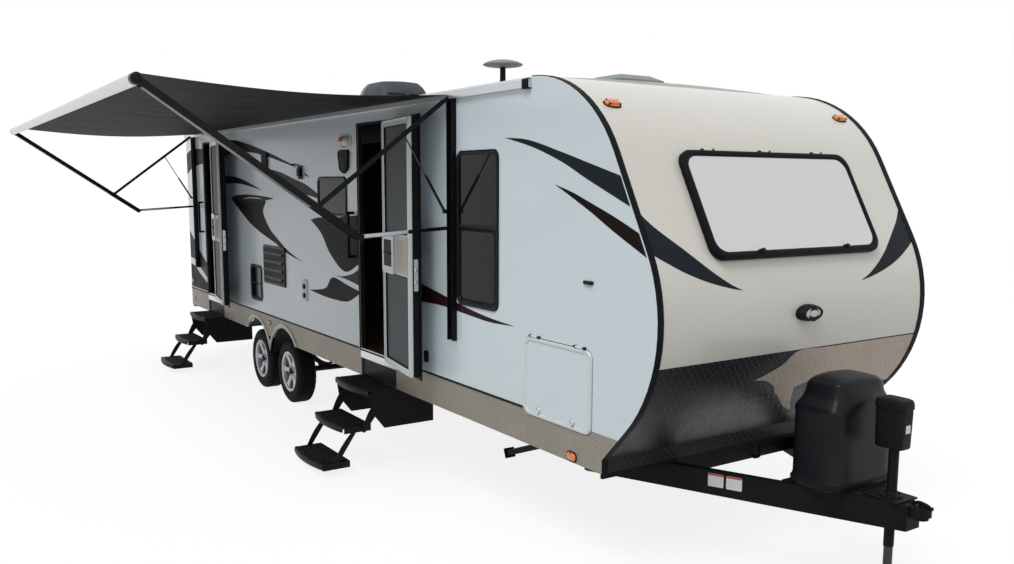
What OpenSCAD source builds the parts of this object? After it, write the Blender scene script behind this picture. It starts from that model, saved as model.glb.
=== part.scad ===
// Tandem-axle travel caravan with two entry doors, a power awning and a tongue jack.
// X runs forward to the coupler, Y to the left side and Z up. The origin is on the
// ground, at the centre of the tongue jack's foot.

/* [Body] */
// Overall width of the body
body_w = 2438; // [2200:2:2600]
// Length of the body, from the rear wall to the nose
body_l = 9442; // [9200:1:9900]
// Distance from the tongue jack back to the nose
nose_back = 633; // [560:1:700]
// Height of the side walls' top edge
roof_z = 3019; // [2960:1:3200]
// Thickness of the laminated side, rear and front walls
wall_t = 45; // [30:1:60]
// Height that the roof crowns above the side walls
roof_crown = 30; // [10:1:50]
// Thickness of the roof at its edge
roof_t = 90; // [60:1:120]

/* [Front cap] */
// Slope of the flat part of the cap, from horizontal
cap_slope = 62; // [58:1:66]
// Radius from the roof into the cap
cap_r = 900; // [700:10:1000]
// Radius of the nose
nose_r = 900; // [800:10:1000]
// Height of the centre of the nose's radius
nose_z = 1584; // [1500:1:1650]
// Height of the trim line between the cap and the lower panel
trim_z = 1359; // [1250:1:1450]

/* [Floor and skirt] */
// Height of the floor's top face
floor_z = 904; // [880:1:960]
// Thickness of the floor
floor_t = 54; // [40:1:80]
// Height of the skirt's lower edge
skirt_z = 666; // [620:1:700]
// Thickness of the skirt
skirt_t = 20; // [12:1:30]

/* [Doors and windows] */
// Width of each doorway
door_w = 690; // [600:1:740]
// Height of the top of each doorway
door_top = 2848; // [2700:1:2860]
// X of the front doorway's front jamb
door_front_x = -3740; // [-3900:1:-3700]
// X of the rear doorway's front jamb
door_rear_x = -8555; // [-8700:1:-8400]
// Angle that each door stands open from shut
door_open = 170.7; // [90:0.1:175]
// Thickness of a door's core
door_t = 52; // [40:1:60]
// Thickness of the screen door's frame
screen_t = 22; // [16:1:26]

/* [Running gear] */
// Radius of a loaded tyre
wheel_r = 340; // [320:1:350]
// Width of a tyre
tyre_w = 205; // [185:1:225]
// Radius of the rim's flange
rim_r = 210; // [190:1:230]
// X of the front axle
axle_x = -6408; // [-6500:1:-6300]
// Distance between the two axles
axle_gap = 889; // [800:1:920]
// Distance from the side of the body in to the tyre's outer face
tyre_in = 34; // [25:1:60]
// Radius of the wheel arches
arch_r = 475; // [420:1:490]

/* [Chassis] */
// Depth of a main rail
rail_h = 234; // [200:1:254]
// Distance from the centreline to a main rail's web
rail_y = 800; // [740:1:860]
// Height of an A-frame rail's section
tongue_h = 152; // [120:1:180]
// Width of an A-frame rail's section
tongue_w = 51; // [40:1:60]
// X of the tip where the two A-frame rails meet
apex_x = 130; // [100:1:160]

/* [Awning] */
// X of the front awning arm
arm_front_x = -2782; // [-2800:1:-2770]
// X of the rear awning arm
arm_rear_x = -9645; // [-9700:1:-9600]
// Length of an upper arm between its pivots
upper_l = 1230; // [1150:1:1260]
// Angle of the upper arm outward from straight down
upper_a = 52.6; // [45:0.1:58]
// Outer arm's length from the upper arm's pivot out to the roller
outer_l = 1323; // [1250:1:1340]
// Outer arm's length from the upper arm's pivot in to the lower arm's pivot
inner_l = 362; // [340:1:380]
// Elevation of the outer arm, from horizontal
outer_a = 34.8; // [30:0.1:38]
// Radius of the roller tube
roller_r = 37.5; // [30:0.5:42]

/* [Tongue] */
// Radius of the jack's inner leg
leg_r = 25; // [20:0.5:27]
// Radius of the jack's outer tube
tube_r = 28.5; // [28:0.5:40]
// Radius of the coupler's ball socket
ball_r = 30; // [24:0.5:32]
// Height of the bottom of the coupler's socket
coupler_z = 545; // [500:1:580]

/* [Steps] */
// Half the width of the step frame, outside its plates
step_half = 336; // [300:1:345]
// Height of the top tread
tread_top_z = 673; // [650:1:690]
// Drop from one tread to the next
tread_drop = 279; // [260:1:285]
// Depth of a tread at its sides
tread_d = 235; // [210:1:240]
// Distance that the front edge of a tread bows out
tread_bow = 38; // [20:1:42]

/* [Hidden] */
$fn = 64;
e = 1;

// Clearances
pin_fit = 0.05;
slide_fit = 0.05;
seat_gap = 0.4;

// Derived body sizes
side_y = body_w / 2;
inner_y = side_y - wall_t;
nose_x = -nose_back;
rear_x = nose_x - body_l;
floor_low = floor_z - floor_t;
nose_cx = nose_x - nose_r;
cap_a = 90 - cap_slope;
nose_low_a = -43;
slope_x = nose_cx + nose_r * cos(cap_a);
slope_z = nose_z + nose_r * sin(cap_a);
slope_l = (roof_z - cap_r - slope_z + cap_r * sin(cap_a)) / sin(cap_slope);
cap_cx = slope_x - slope_l * cos(cap_slope) - cap_r * cos(cap_a);
toe_x = nose_x - 444;

// Openings in the side walls: [x of the rear edge, z of the lower edge, width, height]
tall_window = [-2732, 1495, 542, 1090];
dark_window = [-5347, 2056, 671, 358];
small_window = [-7438, 1029, 380, 406];
wide_window = [-6500, 1500, 1100, 800];
fridge_vent = [-6958, 1262, 666, 419];
baggage = [-1876, 866, 704, 522];
window_rim = 28;
window_r = 60;

function arc(cx, cz, r, a0, a1, n) =
    [for (i = [0:n]) [cx + r * cos(a0 + (a1 - a0) * i / n), cz + r * sin(a0 + (a1 - a0) * i / n)]];

// Front edge of the body in side view, set back by d, from the roof down to the skirt
function low_end(d) = [nose_cx + (nose_r - d) * cos(nose_low_a), nose_z + (nose_r - d) * sin(nose_low_a)];
function toe_z(d) = low_end(d)[1] + (low_end(d)[0] - toe_x + d) / tan(nose_low_a);
function front_edge(d) = concat(
    arc(cap_cx, roof_z - cap_r, cap_r - d, 90, cap_a, 12),
    arc(nose_cx, nose_z, nose_r - d, cap_a, nose_low_a, 14),
    [[toe_x - d, toe_z(d)], [toe_x - d, skirt_z]]);

module side_view(y, t) translate([0, y + t, 0]) rotate([90, 0, 0]) linear_extrude(t) children();
module end_view(x, t) translate([x, 0, 0]) rotate([90, 0, 90]) linear_extrude(t) children();
module block(x0, x1, y0, y1, z0, z1) translate([x0, y0, z0]) cube([x1 - x0, y1 - y0, z1 - z0]);
module round_plate(x0, z0, w, h, r) {
    translate([x0 + r, z0]) square([w - 2 * r, h]);
    translate([x0, z0 + r]) square([w, h - 2 * r]);
    for (x = [x0 + r, x0 + w - r])
        for (z = [z0 + r, z0 + h - r])
            translate([x, z]) circle(r);
}
module cyl_x(x0, x1, y, z, r) translate([x0, y, z]) rotate([0, 90, 0]) cylinder(r = r, h = x1 - x0);
module cyl_y(x, y0, y1, z, r) translate([x, y0, z]) rotate([-90, 0, 0]) cylinder(r = r, h = y1 - y0);
module bar(a, b, w) {
    l = norm(b - a);
    translate(a) rotate(atan2(b[1] - a[1], b[0] - a[0])) translate([0, -w / 2]) square([l, w]);
}
module link(a, b, w) {
    bar(a, b, w - 1);
    translate(a) circle(w / 2);
    translate(b) circle(w / 2);
}

module body_outline(d = 0) polygon(concat(front_edge(d), [[rear_x + d, skirt_z], [rear_x + d, roof_z - d]]));
module above(z) translate([rear_x - 100, z]) square([body_l + 200, roof_z]);
module below(z) translate([rear_x - 100, z - roof_z]) square([body_l + 200, roof_z]);

// ---------------------------------------------------------------- chassis
rail_low = floor_low - rail_h;
flange_w = 100;
flange_t = 9;
web_t = 6;
frame_front = toe_x - wall_t - 20;
frame_rear = rear_x + wall_t;
cross_h = 120;
cross_gap = 1180;
cross_n = floor((frame_front - frame_rear - 200) / cross_gap);

module i_section() {
    for (z = [0, rail_h - flange_t]) translate([-flange_w / 2, z]) square([flange_w, flange_t]);
    translate([-web_t / 2, 0]) square([web_t, rail_h]);
}
module c_section(h, w, t) {
    translate([0, 0]) square([t, h]);
    for (z = [0, h - t]) translate([0, z]) square([w, t]);
}
stab_x = [-2000, -9100];
stab_z = 585;
stab_l = 720;
stab_rest = 21;
stab_pin_r = 8;
spring_y = rail_y;
spring_r = 1100;
leaf_t = 8;
leaf_n = 4;
leaf_half = 330;
axle_r = 30;
spring_z = wheel_r + axle_r + 12 + leaf_n * leaf_t;
eye_x = leaf_half + 6;
eye_z = spring_z + 54;
eye_w = 44;
equaliser_x = axle_x - axle_gap / 2;
equaliser_z = eye_z + 50;
// Pivots that hang from the main rails: [x, z]
hangers = [[axle_x + eye_x, eye_z], [equaliser_x, equaliser_z], [axle_x - axle_gap - eye_x, eye_z]];

module chassis_frame() color([0.05, 0.05, 0.055]) {
    for (s = [-1, 1]) {
        translate([0, s * rail_y, rail_low]) end_view(frame_rear, frame_front - frame_rear) i_section();
        for (k = [0:cross_n]) {
            x = frame_front - 120 - k * cross_gap;
            // outrigger from the web out to the skirt
            end_view(x - 4, 4) polygon([
                [s * (rail_y + web_t / 2), rail_low + flange_t],
                [s * (side_y - skirt_t), floor_low - 70],
                [s * (side_y - skirt_t), floor_low],
                [s * (rail_y + web_t / 2), floor_low - flange_t]]);
        }
        // spring hangers
        for (h = hangers)
            for (t = [-1, 1])
                side_view(s * spring_y + t * 30 - 3, 6)
                    polygon([[h[0] - 60, rail_low], [h[0] + 60, rail_low], [h[0] + 20, h[1] - 20], [h[0] - 20, h[1] - 20]]);
        // stabiliser ears
        for (x = stab_x)
            for (t = [-1, 1])
                side_view(s * rail_y + t * 36 - 3, 6) {
                    translate([x - 45, stab_z]) square([90, rail_low - stab_z]);
                    translate([x, stab_z]) circle(22);
                }
        for (x = stab_x) cyl_y(x, s * rail_y - 38, s * rail_y + 38, stab_z, stab_pin_r);
    }
    for (k = [0:cross_n]) {
        x = frame_front - 120 - k * cross_gap;
        block(x - 4, x, -rail_y + web_t / 2, rail_y - web_t / 2, floor_low - cross_h - 30, floor_low - 30);
        block(x - 50, x - 4, -rail_y + web_t / 2, rail_y - web_t / 2, floor_low - 36, floor_low - 30);
    }
    // headers across both ends of the rails
    block(frame_front, frame_front + 20, -side_y + wall_t, side_y - wall_t, rail_low, floor_low);
    // rear bumper on two arms
    block(rear_x - 190, rear_x - 90, -side_y + 60, side_y - 60, rail_low, rail_low + 100);
    for (s = [-1, 1])
        block(rear_x - 90, frame_rear, s * rail_y - 25, s * rail_y + 25, rail_low - 60, rail_low);
}

// A-frame rails run from under the main rails to the apex
tongue_top = rail_low;
tongue_z = tongue_top - tongue_h;
tongue_back_x = -1700;
rail_end_x = -1664;
// Half the width of the squared apex; the rails' outer lines would meet ahead of it, at tip_x
apex_half = 50;
tongue_a = atan2(rail_y + flange_w / 2 - apex_half, apex_x - rail_end_x);
tip_x = apex_x + apex_half / tan(tongue_a);
tongue_cross_x = -1180;
tongue_cross_y = (tip_x - tongue_cross_x) * tan(tongue_a) - tongue_w;
module tongue_plan(d) polygon([
    [tongue_back_x, rail_y + flange_w / 2 - d / cos(tongue_a) + (rail_end_x - tongue_back_x) * tan(tongue_a)],
    [tip_x + 50 - d / sin(tongue_a), -50 * tan(tongue_a)],
    [tongue_back_x, -50 * tan(tongue_a)]]);
module a_frame() color([0.045, 0.045, 0.05]) difference() {
    union() {
        translate([0, 0, tongue_z]) linear_extrude(tongue_h) intersection() {
            union() for (s = [0, 1]) mirror([0, s]) difference() {
                tongue_plan(0);
                tongue_plan(tongue_w);
            }
            translate([tongue_back_x, -rail_y - 50]) square([apex_x - tongue_back_x, 2 * rail_y + 100]);
        }
        // cross tube under the body's front edge
        block(tongue_cross_x - 50, tongue_cross_x, -tongue_cross_y, tongue_cross_y, tongue_z + 40, tongue_top - 20);
        // tray for the gas bottles and plate for the jack
        block(-530, -150, -290, 290, tongue_top, tongue_top + 6);
        block(-130, 100, -95, 95, tongue_top, tongue_top + 10);
    }
    translate([0, 0, tongue_z - e]) cylinder(r = tube_r + seat_gap, h = tongue_h + 12 + 2 * e);
}

coupler_w = 90;
ball_x = apex_x + 50;
module coupler() color([0.05, 0.05, 0.055]) difference() {
    union() {
        hull() {
            translate([ball_x, 0, coupler_z]) cylinder(r = ball_r + 14, h = 66, $fn = 32);
            translate([apex_x + 4, -coupler_w / 2, coupler_z + 6]) cube([4, coupler_w, 64]);
        }
        translate([ball_x + 11, 0, coupler_z + 20]) cylinder(r = ball_r + 18, h = 50);
        block(apex_x, apex_x + 10, -60, 60, tongue_z + 6, tongue_top);
        // lever
        block(ball_x - 10, ball_x + 70, -9, 9, coupler_z + 66, coupler_z + 82);
    }
    translate([ball_x, 0, coupler_z - e]) cylinder(r = ball_r, h = 34 + e);
}

spindle_r = 20;
hub_in = side_y - tyre_in - tyre_w / 2;
// Curved leaves with an eye at each end, and the pad that sits on the axle
module spring_pack(x) {
    for (i = [0:leaf_n - 1]) {
        half_a = asin((leaf_half - 60 * i) / spring_r);
        r1 = spring_r + leaf_t * (i + 1);
        polygon(concat(
            arc(x, spring_z + spring_r, r1 - leaf_t - 2, 270 - half_a, 270 + half_a, 7),
            arc(x, spring_z + spring_r, r1, 270 + half_a, 270 - half_a, 7)));
    }
    for (s = [-1, 1]) translate([x + s * eye_x, eye_z]) circle(16);
    translate([x - 50, wheel_r + axle_r - 6]) square([100, 20]);
}
module axles() color([0.07, 0.07, 0.075]) {
    for (k = [0, 1]) {
        x = axle_x - k * axle_gap;
        cyl_y(x, -hub_in + 50, hub_in - 50, wheel_r, axle_r);
        for (s = [-1, 1]) {
            cyl_y(x, min(s * (hub_in - 60), s * (hub_in + 55)), max(s * (hub_in - 60), s * (hub_in + 55)), wheel_r, spindle_r);
            cyl_y(x, s * (hub_in - 42) - 8, s * (hub_in - 42) + 8, wheel_r, 115);
            side_view(s * spring_y - eye_w / 2, eye_w) spring_pack(x);
        }
    }
    for (s = [-1, 1]) {
        // equaliser that joins the two springs of a side
        side_view(s * spring_y - eye_w / 2, eye_w) polygon([
            [axle_x - eye_x + 8, eye_z - 10], [axle_x - eye_x + 8, eye_z + 10], [equaliser_x + 12, equaliser_z + 14],
            [equaliser_x - 12, equaliser_z + 14], [axle_x - axle_gap + eye_x - 8, eye_z + 10],
            [axle_x - axle_gap + eye_x - 8, eye_z - 10], [equaliser_x, equaliser_z - 18]]);
        for (h = hangers) cyl_y(h[0], s * spring_y - 27, s * spring_y + 27, h[1], 9);
    }
}

// ---------------------------------------------------------------- body
module floor() color([0.35, 0.33, 0.30])
    side_view(-side_y + skirt_t, body_w - 2 * skirt_t) intersection() {
        body_outline(wall_t);
        translate([rear_x, floor_low]) square([body_l, floor_t]);
    }

module doorway(x1) translate([x1 - door_w, floor_z - e]) square([door_w, door_top - floor_z + e]);
module window_hole(w, d) round_plate(w[0] + d, w[1] + d, w[2] - 2 * d, w[3] - 2 * d, max(window_r - d, 8));
module wall_shape() intersection() {
    body_outline();
    above(floor_z);
}
module right_wall() color([0.80, 0.84, 0.87]) side_view(-side_y, wall_t) difference() {
    wall_shape();
    doorway(door_front_x);
    doorway(door_rear_x);
    for (w = [tall_window, dark_window, small_window]) window_hole(w, window_rim);
    translate([fridge_vent[0] + 20, fridge_vent[1] + 20]) square([fridge_vent[2] - 40, fridge_vent[3] - 40]);
    round_plate(baggage[0], baggage[1], baggage[2], baggage[3], window_r);
}
module left_wall() color([0.80, 0.84, 0.87]) side_view(side_y - wall_t, wall_t) difference() {
    wall_shape();
    for (w = [tall_window, wide_window]) window_hole(w, window_rim);
    round_plate(baggage[0], baggage[1], baggage[2], baggage[3], window_r);
}
module front_ring() difference() {
    intersection() {
        body_outline();
        translate([cap_cx, 0]) square([body_l, roof_z]);
    }
    body_outline(wall_t);
}
guard_w = 1520;
guard_h = 695;
guard_low = -90;
guard_r = 90;
// Lift that keeps a flat fitting just off the sloping face
face_lift = 0.1;
module on_slope() translate([slope_x, 0, slope_z]) rotate([0, -cap_a, 0]) rotate([90, 0, 90]) children();
module front_cap() color([0.66, 0.64, 0.58]) difference() {
    side_view(-inner_y, 2 * inner_y) intersection() {
        front_ring();
        above(trim_z);
    }
    on_slope() translate([0, 0, -wall_t - 30]) linear_extrude(wall_t + 60)
        round_plate(-guard_w / 2 + 70, guard_low + 75, guard_w - 140, guard_h - 150, guard_r - 30);
}
module lower_front_panel() color([0.10, 0.10, 0.11]) {
    side_view(-inner_y, 2 * inner_y) intersection() {
        front_ring();
        below(trim_z);
    }
    // below the side walls the panel reaches out to the skirts
    for (s = [-1, 1])
        side_view(s > 0 ? inner_y : -side_y + skirt_t, wall_t - skirt_t) intersection() {
            front_ring();
            below(floor_z);
        }
}
module rear_wall() color([0.80, 0.84, 0.87]) {
    block(rear_x, rear_x + wall_t, -inner_y, inner_y, skirt_z, roof_z);
    block(rear_x, rear_x + wall_t, -side_y + skirt_t, side_y - skirt_t, skirt_z, floor_z);
}

roof_front = cap_cx;
vent_x = -2380;
vent_w = 400;
lid_z = roof_z + roof_crown + 40 + seat_gap;
lid_hinge_x = vent_x - vent_w / 2 - 26;
lid_hinge_z = lid_z - 8;
roof_chord_r = (inner_y * inner_y + roof_crown * roof_crown) / (2 * roof_crown);
roof_half_a = asin(inner_y / roof_chord_r);
module roof() color([0.86, 0.86, 0.84]) difference() {
    union() {
        end_view(rear_x + wall_t, roof_front - rear_x - wall_t) polygon(concat(
            arc(0, roof_z + roof_crown - roof_chord_r, roof_chord_r, 90 - roof_half_a, 90 + roof_half_a, 16),
            [[-inner_y, roof_z - roof_t], [inner_y, roof_z - roof_t]]));
        block(vent_x - vent_w / 2, vent_x + vent_w / 2, -vent_w / 2, vent_w / 2, roof_z, roof_z + roof_crown + 40);
        // lugs and pins of the lid's hinge
        for (y = [-120, 120]) {
            cyl_y(lid_hinge_x, y - 54, y + 54, lid_hinge_z, knuckle_pin_r);
            for (t = [-54, 35]) block(lid_hinge_x - 7, lid_hinge_x + 5, y + t, y + t + 19, roof_z + 5, lid_hinge_z + 5);
        }
    }
    block(vent_x - vent_w / 2 + 22, vent_x + vent_w / 2 - 22, -vent_w / 2 + 22, vent_w / 2 - 22,
        roof_z - roof_t - e, roof_z + roof_crown + 40 + e);
}

step_well = [for (x = [door_front_x, door_rear_x]) x - door_w / 2];
module skirt_shape(right) difference() {
    intersection() {
        body_outline();
        below(floor_z);
    }
    for (k = [0, 1]) translate([axle_x - k * axle_gap, wheel_r]) circle(arch_r, $fn = 128);
    round_plate(baggage[0], baggage[1], baggage[2], baggage[3], window_r);
    if (right) for (x = step_well)
        translate([x - step_half - 8, skirt_z - e]) square([2 * step_half + 16, floor_z - skirt_z + 2 * e]);
}
module skirts() color([0.52, 0.47, 0.41]) {
    side_view(-side_y, skirt_t) skirt_shape(true);
    side_view(side_y - skirt_t, skirt_t) skirt_shape(false);
}

moulding_w = 42;
moulding_t = 6;
module edge_moulding() difference() {
    intersection() {
        body_outline(-moulding_t);
        translate([cap_cx, skirt_z]) square([body_l, roof_z]);
    }
    body_outline();
}
module arch_trim() difference() {
    for (k = [0, 1]) translate([axle_x - k * axle_gap, wheel_r]) circle(arch_r + 26, $fn = 128);
    for (k = [0, 1]) translate([axle_x - k * axle_gap, wheel_r]) circle(arch_r, $fn = 128);
    below(skirt_z);
}
module body_trims() {
    color([0.03, 0.03, 0.035])
        for (s = [-1, 1]) side_view(s > 0 ? side_y - moulding_w : -side_y, moulding_w) edge_moulding();
    color([0.03, 0.03, 0.035]) for (s = [-1, 1]) {
        y0 = s > 0 ? side_y : -side_y - moulding_t;
        side_view(y0, moulding_t) difference() {
            translate([rear_x, floor_z - 7]) square([baggage[0] - rear_x - 20, 14]);
            if (s < 0) for (x = step_well)
                translate([x - step_half - 60, 0]) square([2 * step_half + 120, roof_z]);
        }
    }
    color([0.72, 0.73, 0.74]) for (s = [-1, 1])
        side_view(s > 0 ? side_y : -side_y - moulding_t, moulding_t) arch_trim();
}

// ---------------------------------------------------------------- windows
glass_t = 5;
module window_ring(w, y0, t) side_view(y0, t) difference() {
    window_hole(w, 0);
    window_hole(w, window_rim);
}
module window_frames() color([0.03, 0.03, 0.035]) {
    for (w = [tall_window, dark_window, small_window]) {
        window_ring(w, -side_y - 8, 8);
    }
    for (w = [tall_window, wide_window]) window_ring(w, side_y, 8);
    // bar between the fixed and the opening pane
    for (s = [-1, 1])
        block(tall_window[0] + window_rim, tall_window[0] + tall_window[2] - window_rim,
            s > 0 ? side_y + 2 : -side_y - 8, s > 0 ? side_y + 8 : -side_y - 2, 2046, 2072);
    guard_lugs();
    // frame of the front window, behind the rock guard
    on_slope() translate([0, 0, face_lift]) linear_extrude(6) difference() {
        round_plate(-guard_w / 2 + 40, guard_low + 45, guard_w - 80, guard_h - 90, guard_r - 20);
        round_plate(-guard_w / 2 + 70, guard_low + 75, guard_w - 140, guard_h - 150, guard_r - 30);
    }
}
module window_glass() color([0.05, 0.06, 0.07, 0.45]) {
    for (w = [tall_window, dark_window, small_window])
        side_view(-side_y - 2, glass_t) window_hole(w, window_rim);
    for (w = [tall_window, wide_window])
        side_view(side_y - 3, glass_t) window_hole(w, window_rim);
    on_slope() linear_extrude(glass_t)
        round_plate(-guard_w / 2 + 70, guard_low + 75, guard_w - 140, guard_h - 150, guard_r - 30);
}
guard_off = 12;
guard_t = 24;
hinge_v = guard_low + guard_h + 14;
hinge_n = 18;
knuckle_r = 8;
knuckle_pin_r = 4;
knuckle_l = 68;
guard_knuckles = [-500, 0, 500];
module rock_guard() color([0.70, 0.68, 0.63]) on_slope() {
    translate([0, 0, guard_off]) linear_extrude(guard_t)
        round_plate(-guard_w / 2, guard_low, guard_w, guard_h, guard_r);
    for (y = guard_knuckles) difference() {
        union() {
            cyl_x(y - knuckle_l / 2, y + knuckle_l / 2, hinge_v, hinge_n, knuckle_r);
            block(y - knuckle_l / 2, y + knuckle_l / 2, hinge_v - 18, hinge_v, hinge_n - 4, hinge_n + 4);
        }
        cyl_x(y - knuckle_l, y + knuckle_l, hinge_v, hinge_n, knuckle_pin_r + pin_fit);
    }
}
module guard_lugs() on_slope() for (y = guard_knuckles) {
    cyl_x(y - knuckle_l / 2 - 20, y + knuckle_l / 2 + 20, hinge_v, hinge_n, knuckle_pin_r);
    for (t = [-knuckle_l / 2 - 20, knuckle_l / 2 + 1])
        block(y + t, y + t + 19, hinge_v - 8, hinge_v + 6, face_lift, hinge_n + 7);
}

// ---------------------------------------------------------------- doors
bag_hinge_off = 12;
bag_hinge_z = baggage[1] + baggage[3] + 5;
bag_knuckles = [baggage[0] + 120, baggage[0] + baggage[2] - 120];
module baggage_door(s) color([0.84, 0.86, 0.88]) mirror([0, s > 0 ? 1 : 0]) {
    side_view(-side_y - 6, skirt_t + 5)
        round_plate(baggage[0] + 5, baggage[1] + 5, baggage[2] - 10, baggage[3] - 10, window_r - 5);
    for (x = bag_knuckles) difference() {
        union() {
            cyl_x(x - knuckle_l / 2, x + knuckle_l / 2, -side_y - bag_hinge_off, bag_hinge_z, 6);
            block(x - knuckle_l / 2, x + knuckle_l / 2, -side_y - bag_hinge_off, -side_y - 6, bag_hinge_z - 22, bag_hinge_z);
        }
        cyl_x(x - knuckle_l, x + knuckle_l, -side_y - bag_hinge_off, bag_hinge_z, 3 + pin_fit);
    }
}
module baggage_door_right() baggage_door(-1);
module baggage_door_left() baggage_door(1);
module bag_lugs() for (s = [0, 1]) mirror([0, s]) for (x = bag_knuckles) {
    cyl_x(x - knuckle_l / 2 - 20, x + knuckle_l / 2 + 20, -side_y - bag_hinge_off, bag_hinge_z, 3);
    for (t = [-knuckle_l / 2 - 20, knuckle_l / 2 + 1])
        block(x + t, x + t + 19, -side_y - bag_hinge_off - 5, -side_y, bag_hinge_z - 4, bag_hinge_z + 6);
}
hinge_off = 21;
hinge_x = 12;
leaf_low = floor_z - 22;
leaf_lap = 15;
leaf_skin = 8;
core_gap = 5;
core_free = 12;
barrel_r = 8;
barrel_pin_r = 4;
barrel_z = [1050, 1850, 2650];
barrel_h = 60;

module at_hinge(x) translate([x + hinge_x, -side_y - hinge_off, 0]) rotate([0, 0, door_open])
    translate([-x - hinge_x, side_y + hinge_off, 0]) children();
module door_leaf(x) color([0.03, 0.03, 0.035]) at_hinge(x) {
    difference() {
        union() {
            block(x - door_w - leaf_lap, x + hinge_x - barrel_r + 5, -side_y - 16, -side_y - 8, leaf_low, door_top + leaf_lap);
            block(x - door_w + core_free, x - core_gap, -side_y - 8, -side_y - 8 + door_t, floor_z + 6, door_top - core_gap);
        }
        for (z = barrel_z)
            block(x - 12, x + 40, -side_y - 40, -side_y - 8, z - barrel_h / 2 - 32, z + barrel_h / 2 + 32);
    }
    for (z = barrel_z) difference() {
        union() {
            translate([x + hinge_x, -side_y - hinge_off, z - barrel_h / 2]) cylinder(r = barrel_r, h = barrel_h);
            block(x - 14, x + hinge_x - 5, -side_y - 21, -side_y - 13, z - barrel_h / 2, z + barrel_h / 2);
        }
        translate([x + hinge_x, -side_y - hinge_off, z - barrel_h / 2 - e])
            cylinder(r = barrel_pin_r + pin_fit, h = barrel_h + 2 * e);
    }
}
// Heights between which the screen door carries its sliding panel
screen_bar_low = 1660;
screen_bar_high = 1970;
module screen_frame(x) color([0.82, 0.84, 0.85]) at_hinge(x) {
    y0 = -side_y - 8 + door_t;
    x0 = x - door_w + core_free;
    x1 = x - core_gap;
    difference() {
        block(x0, x1, y0, y0 + screen_t, floor_z + 6, door_top - core_gap);
        for (z = [[floor_z + 56, screen_bar_low], [screen_bar_high, door_top - 55]])
            block(x0 + 50, x1 - 50, y0 + 6, y0 + screen_t + e, z[0], z[1]);
    }
}
module front_door() door_leaf(door_front_x);
module rear_door() door_leaf(door_rear_x);
module front_door_screen() screen_frame(door_front_x);
module rear_door_screen() screen_frame(door_rear_x);

handle_r = 13;
module grab_handle(x, z0, z1) {
    translate([x, -side_y - 52, z0]) cylinder(r = handle_r, h = z1 - z0);
    for (z = [z0 + handle_r, z1 - handle_r]) cyl_y(x, -side_y - 52, -side_y, z, handle_r);
}
module door_trims() color([0.03, 0.03, 0.035]) {
    for (x = [door_front_x, door_rear_x]) {
        side_view(-side_y - 6, 6) difference() {
            translate([x - door_w - 18, floor_z - 16]) square([door_w + 36, door_top - floor_z + 34]);
            translate([x - door_w, floor_z]) square([door_w, door_top - floor_z]);
        }
        for (z = barrel_z) {
            translate([x + hinge_x, -side_y - hinge_off, z - barrel_h / 2 - 26])
                cylinder(r = barrel_pin_r, h = barrel_h + 52);
            for (t = [-barrel_h / 2 - 26, barrel_h / 2 + 1]) {
                translate([x + hinge_x, -side_y - hinge_off, z + t]) cylinder(r = barrel_r, h = 25);
                block(x + hinge_x - 2, x + hinge_x + barrel_r, -side_y - hinge_off, -side_y, z + t, z + t + 25);
            }
        }
        grab_handle(x - door_w - 110, 1700, 2110);
    }
    bag_lugs();
}

// ---------------------------------------------------------------- wall fittings
marker_y = 1043;
module wall_fittings() {
    color([0.06, 0.06, 0.065]) {
        side_view(-side_y - 14, 14 + wall_t - 4) difference() {
            translate([fridge_vent[0] + 20, fridge_vent[1] + 20]) square([fridge_vent[2] - 40, fridge_vent[3] - 40]);
            for (k = [0:3])
                translate([fridge_vent[0] + 60, fridge_vent[1] + 55 + k * 88]) square([fridge_vent[2] - 120, 34]);
        }
        side_view(-side_y - 8, 8) difference() {
            translate([fridge_vent[0], fridge_vent[1]]) square([fridge_vent[2], fridge_vent[3]]);
            translate([fridge_vent[0] + 20, fridge_vent[1] + 20]) square([fridge_vent[2] - 40, fridge_vent[3] - 40]);
        }
        // speaker
        side_view(-side_y - 18, 18) intersection() {
            round_plate(-4812, 2457, 200, 180, 60);
            translate([-4712, 2600]) circle(150);
        }
    }
    color([0.9, 0.45, 0.1]) {
        for (s = [-1, 1]) {
            translate([cap_cx + cap_r * cos(51), s * marker_y, roof_z - cap_r + cap_r * sin(51)])
                rotate([0, 39, 0]) translate([-24, -45, -0.1]) cube([48, 90, 22]);
            cyl_y(-1365, s > 0 ? side_y : -side_y - 14, s > 0 ? side_y + 14 : -side_y, 702, 24);
        }
        cyl_y(-4645, -side_y - 30, -side_y, 2718, 48);
    }
    color([0.7, 0.05, 0.04]) for (s = [-1, 1]) {
        block(rear_x - 30, rear_x, s * (inner_y - 150) - 75, s * (inner_y - 150) + 75, 960, 1130);
        block(rear_x - 18, rear_x, s * (inner_y - 80) - 40, s * (inner_y - 80) + 40, 2890, 2935);
        cyl_y(rear_x + 110, s > 0 ? side_y : -side_y - 14, s > 0 ? side_y + 14 : -side_y, 1010, 24);
    }
    color([0.8, 0.8, 0.8]) translate([nose_x - 0.1, 0, nose_z]) rotate([0, 90, 0]) cylinder(r = 42, h = 56);
}

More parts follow.
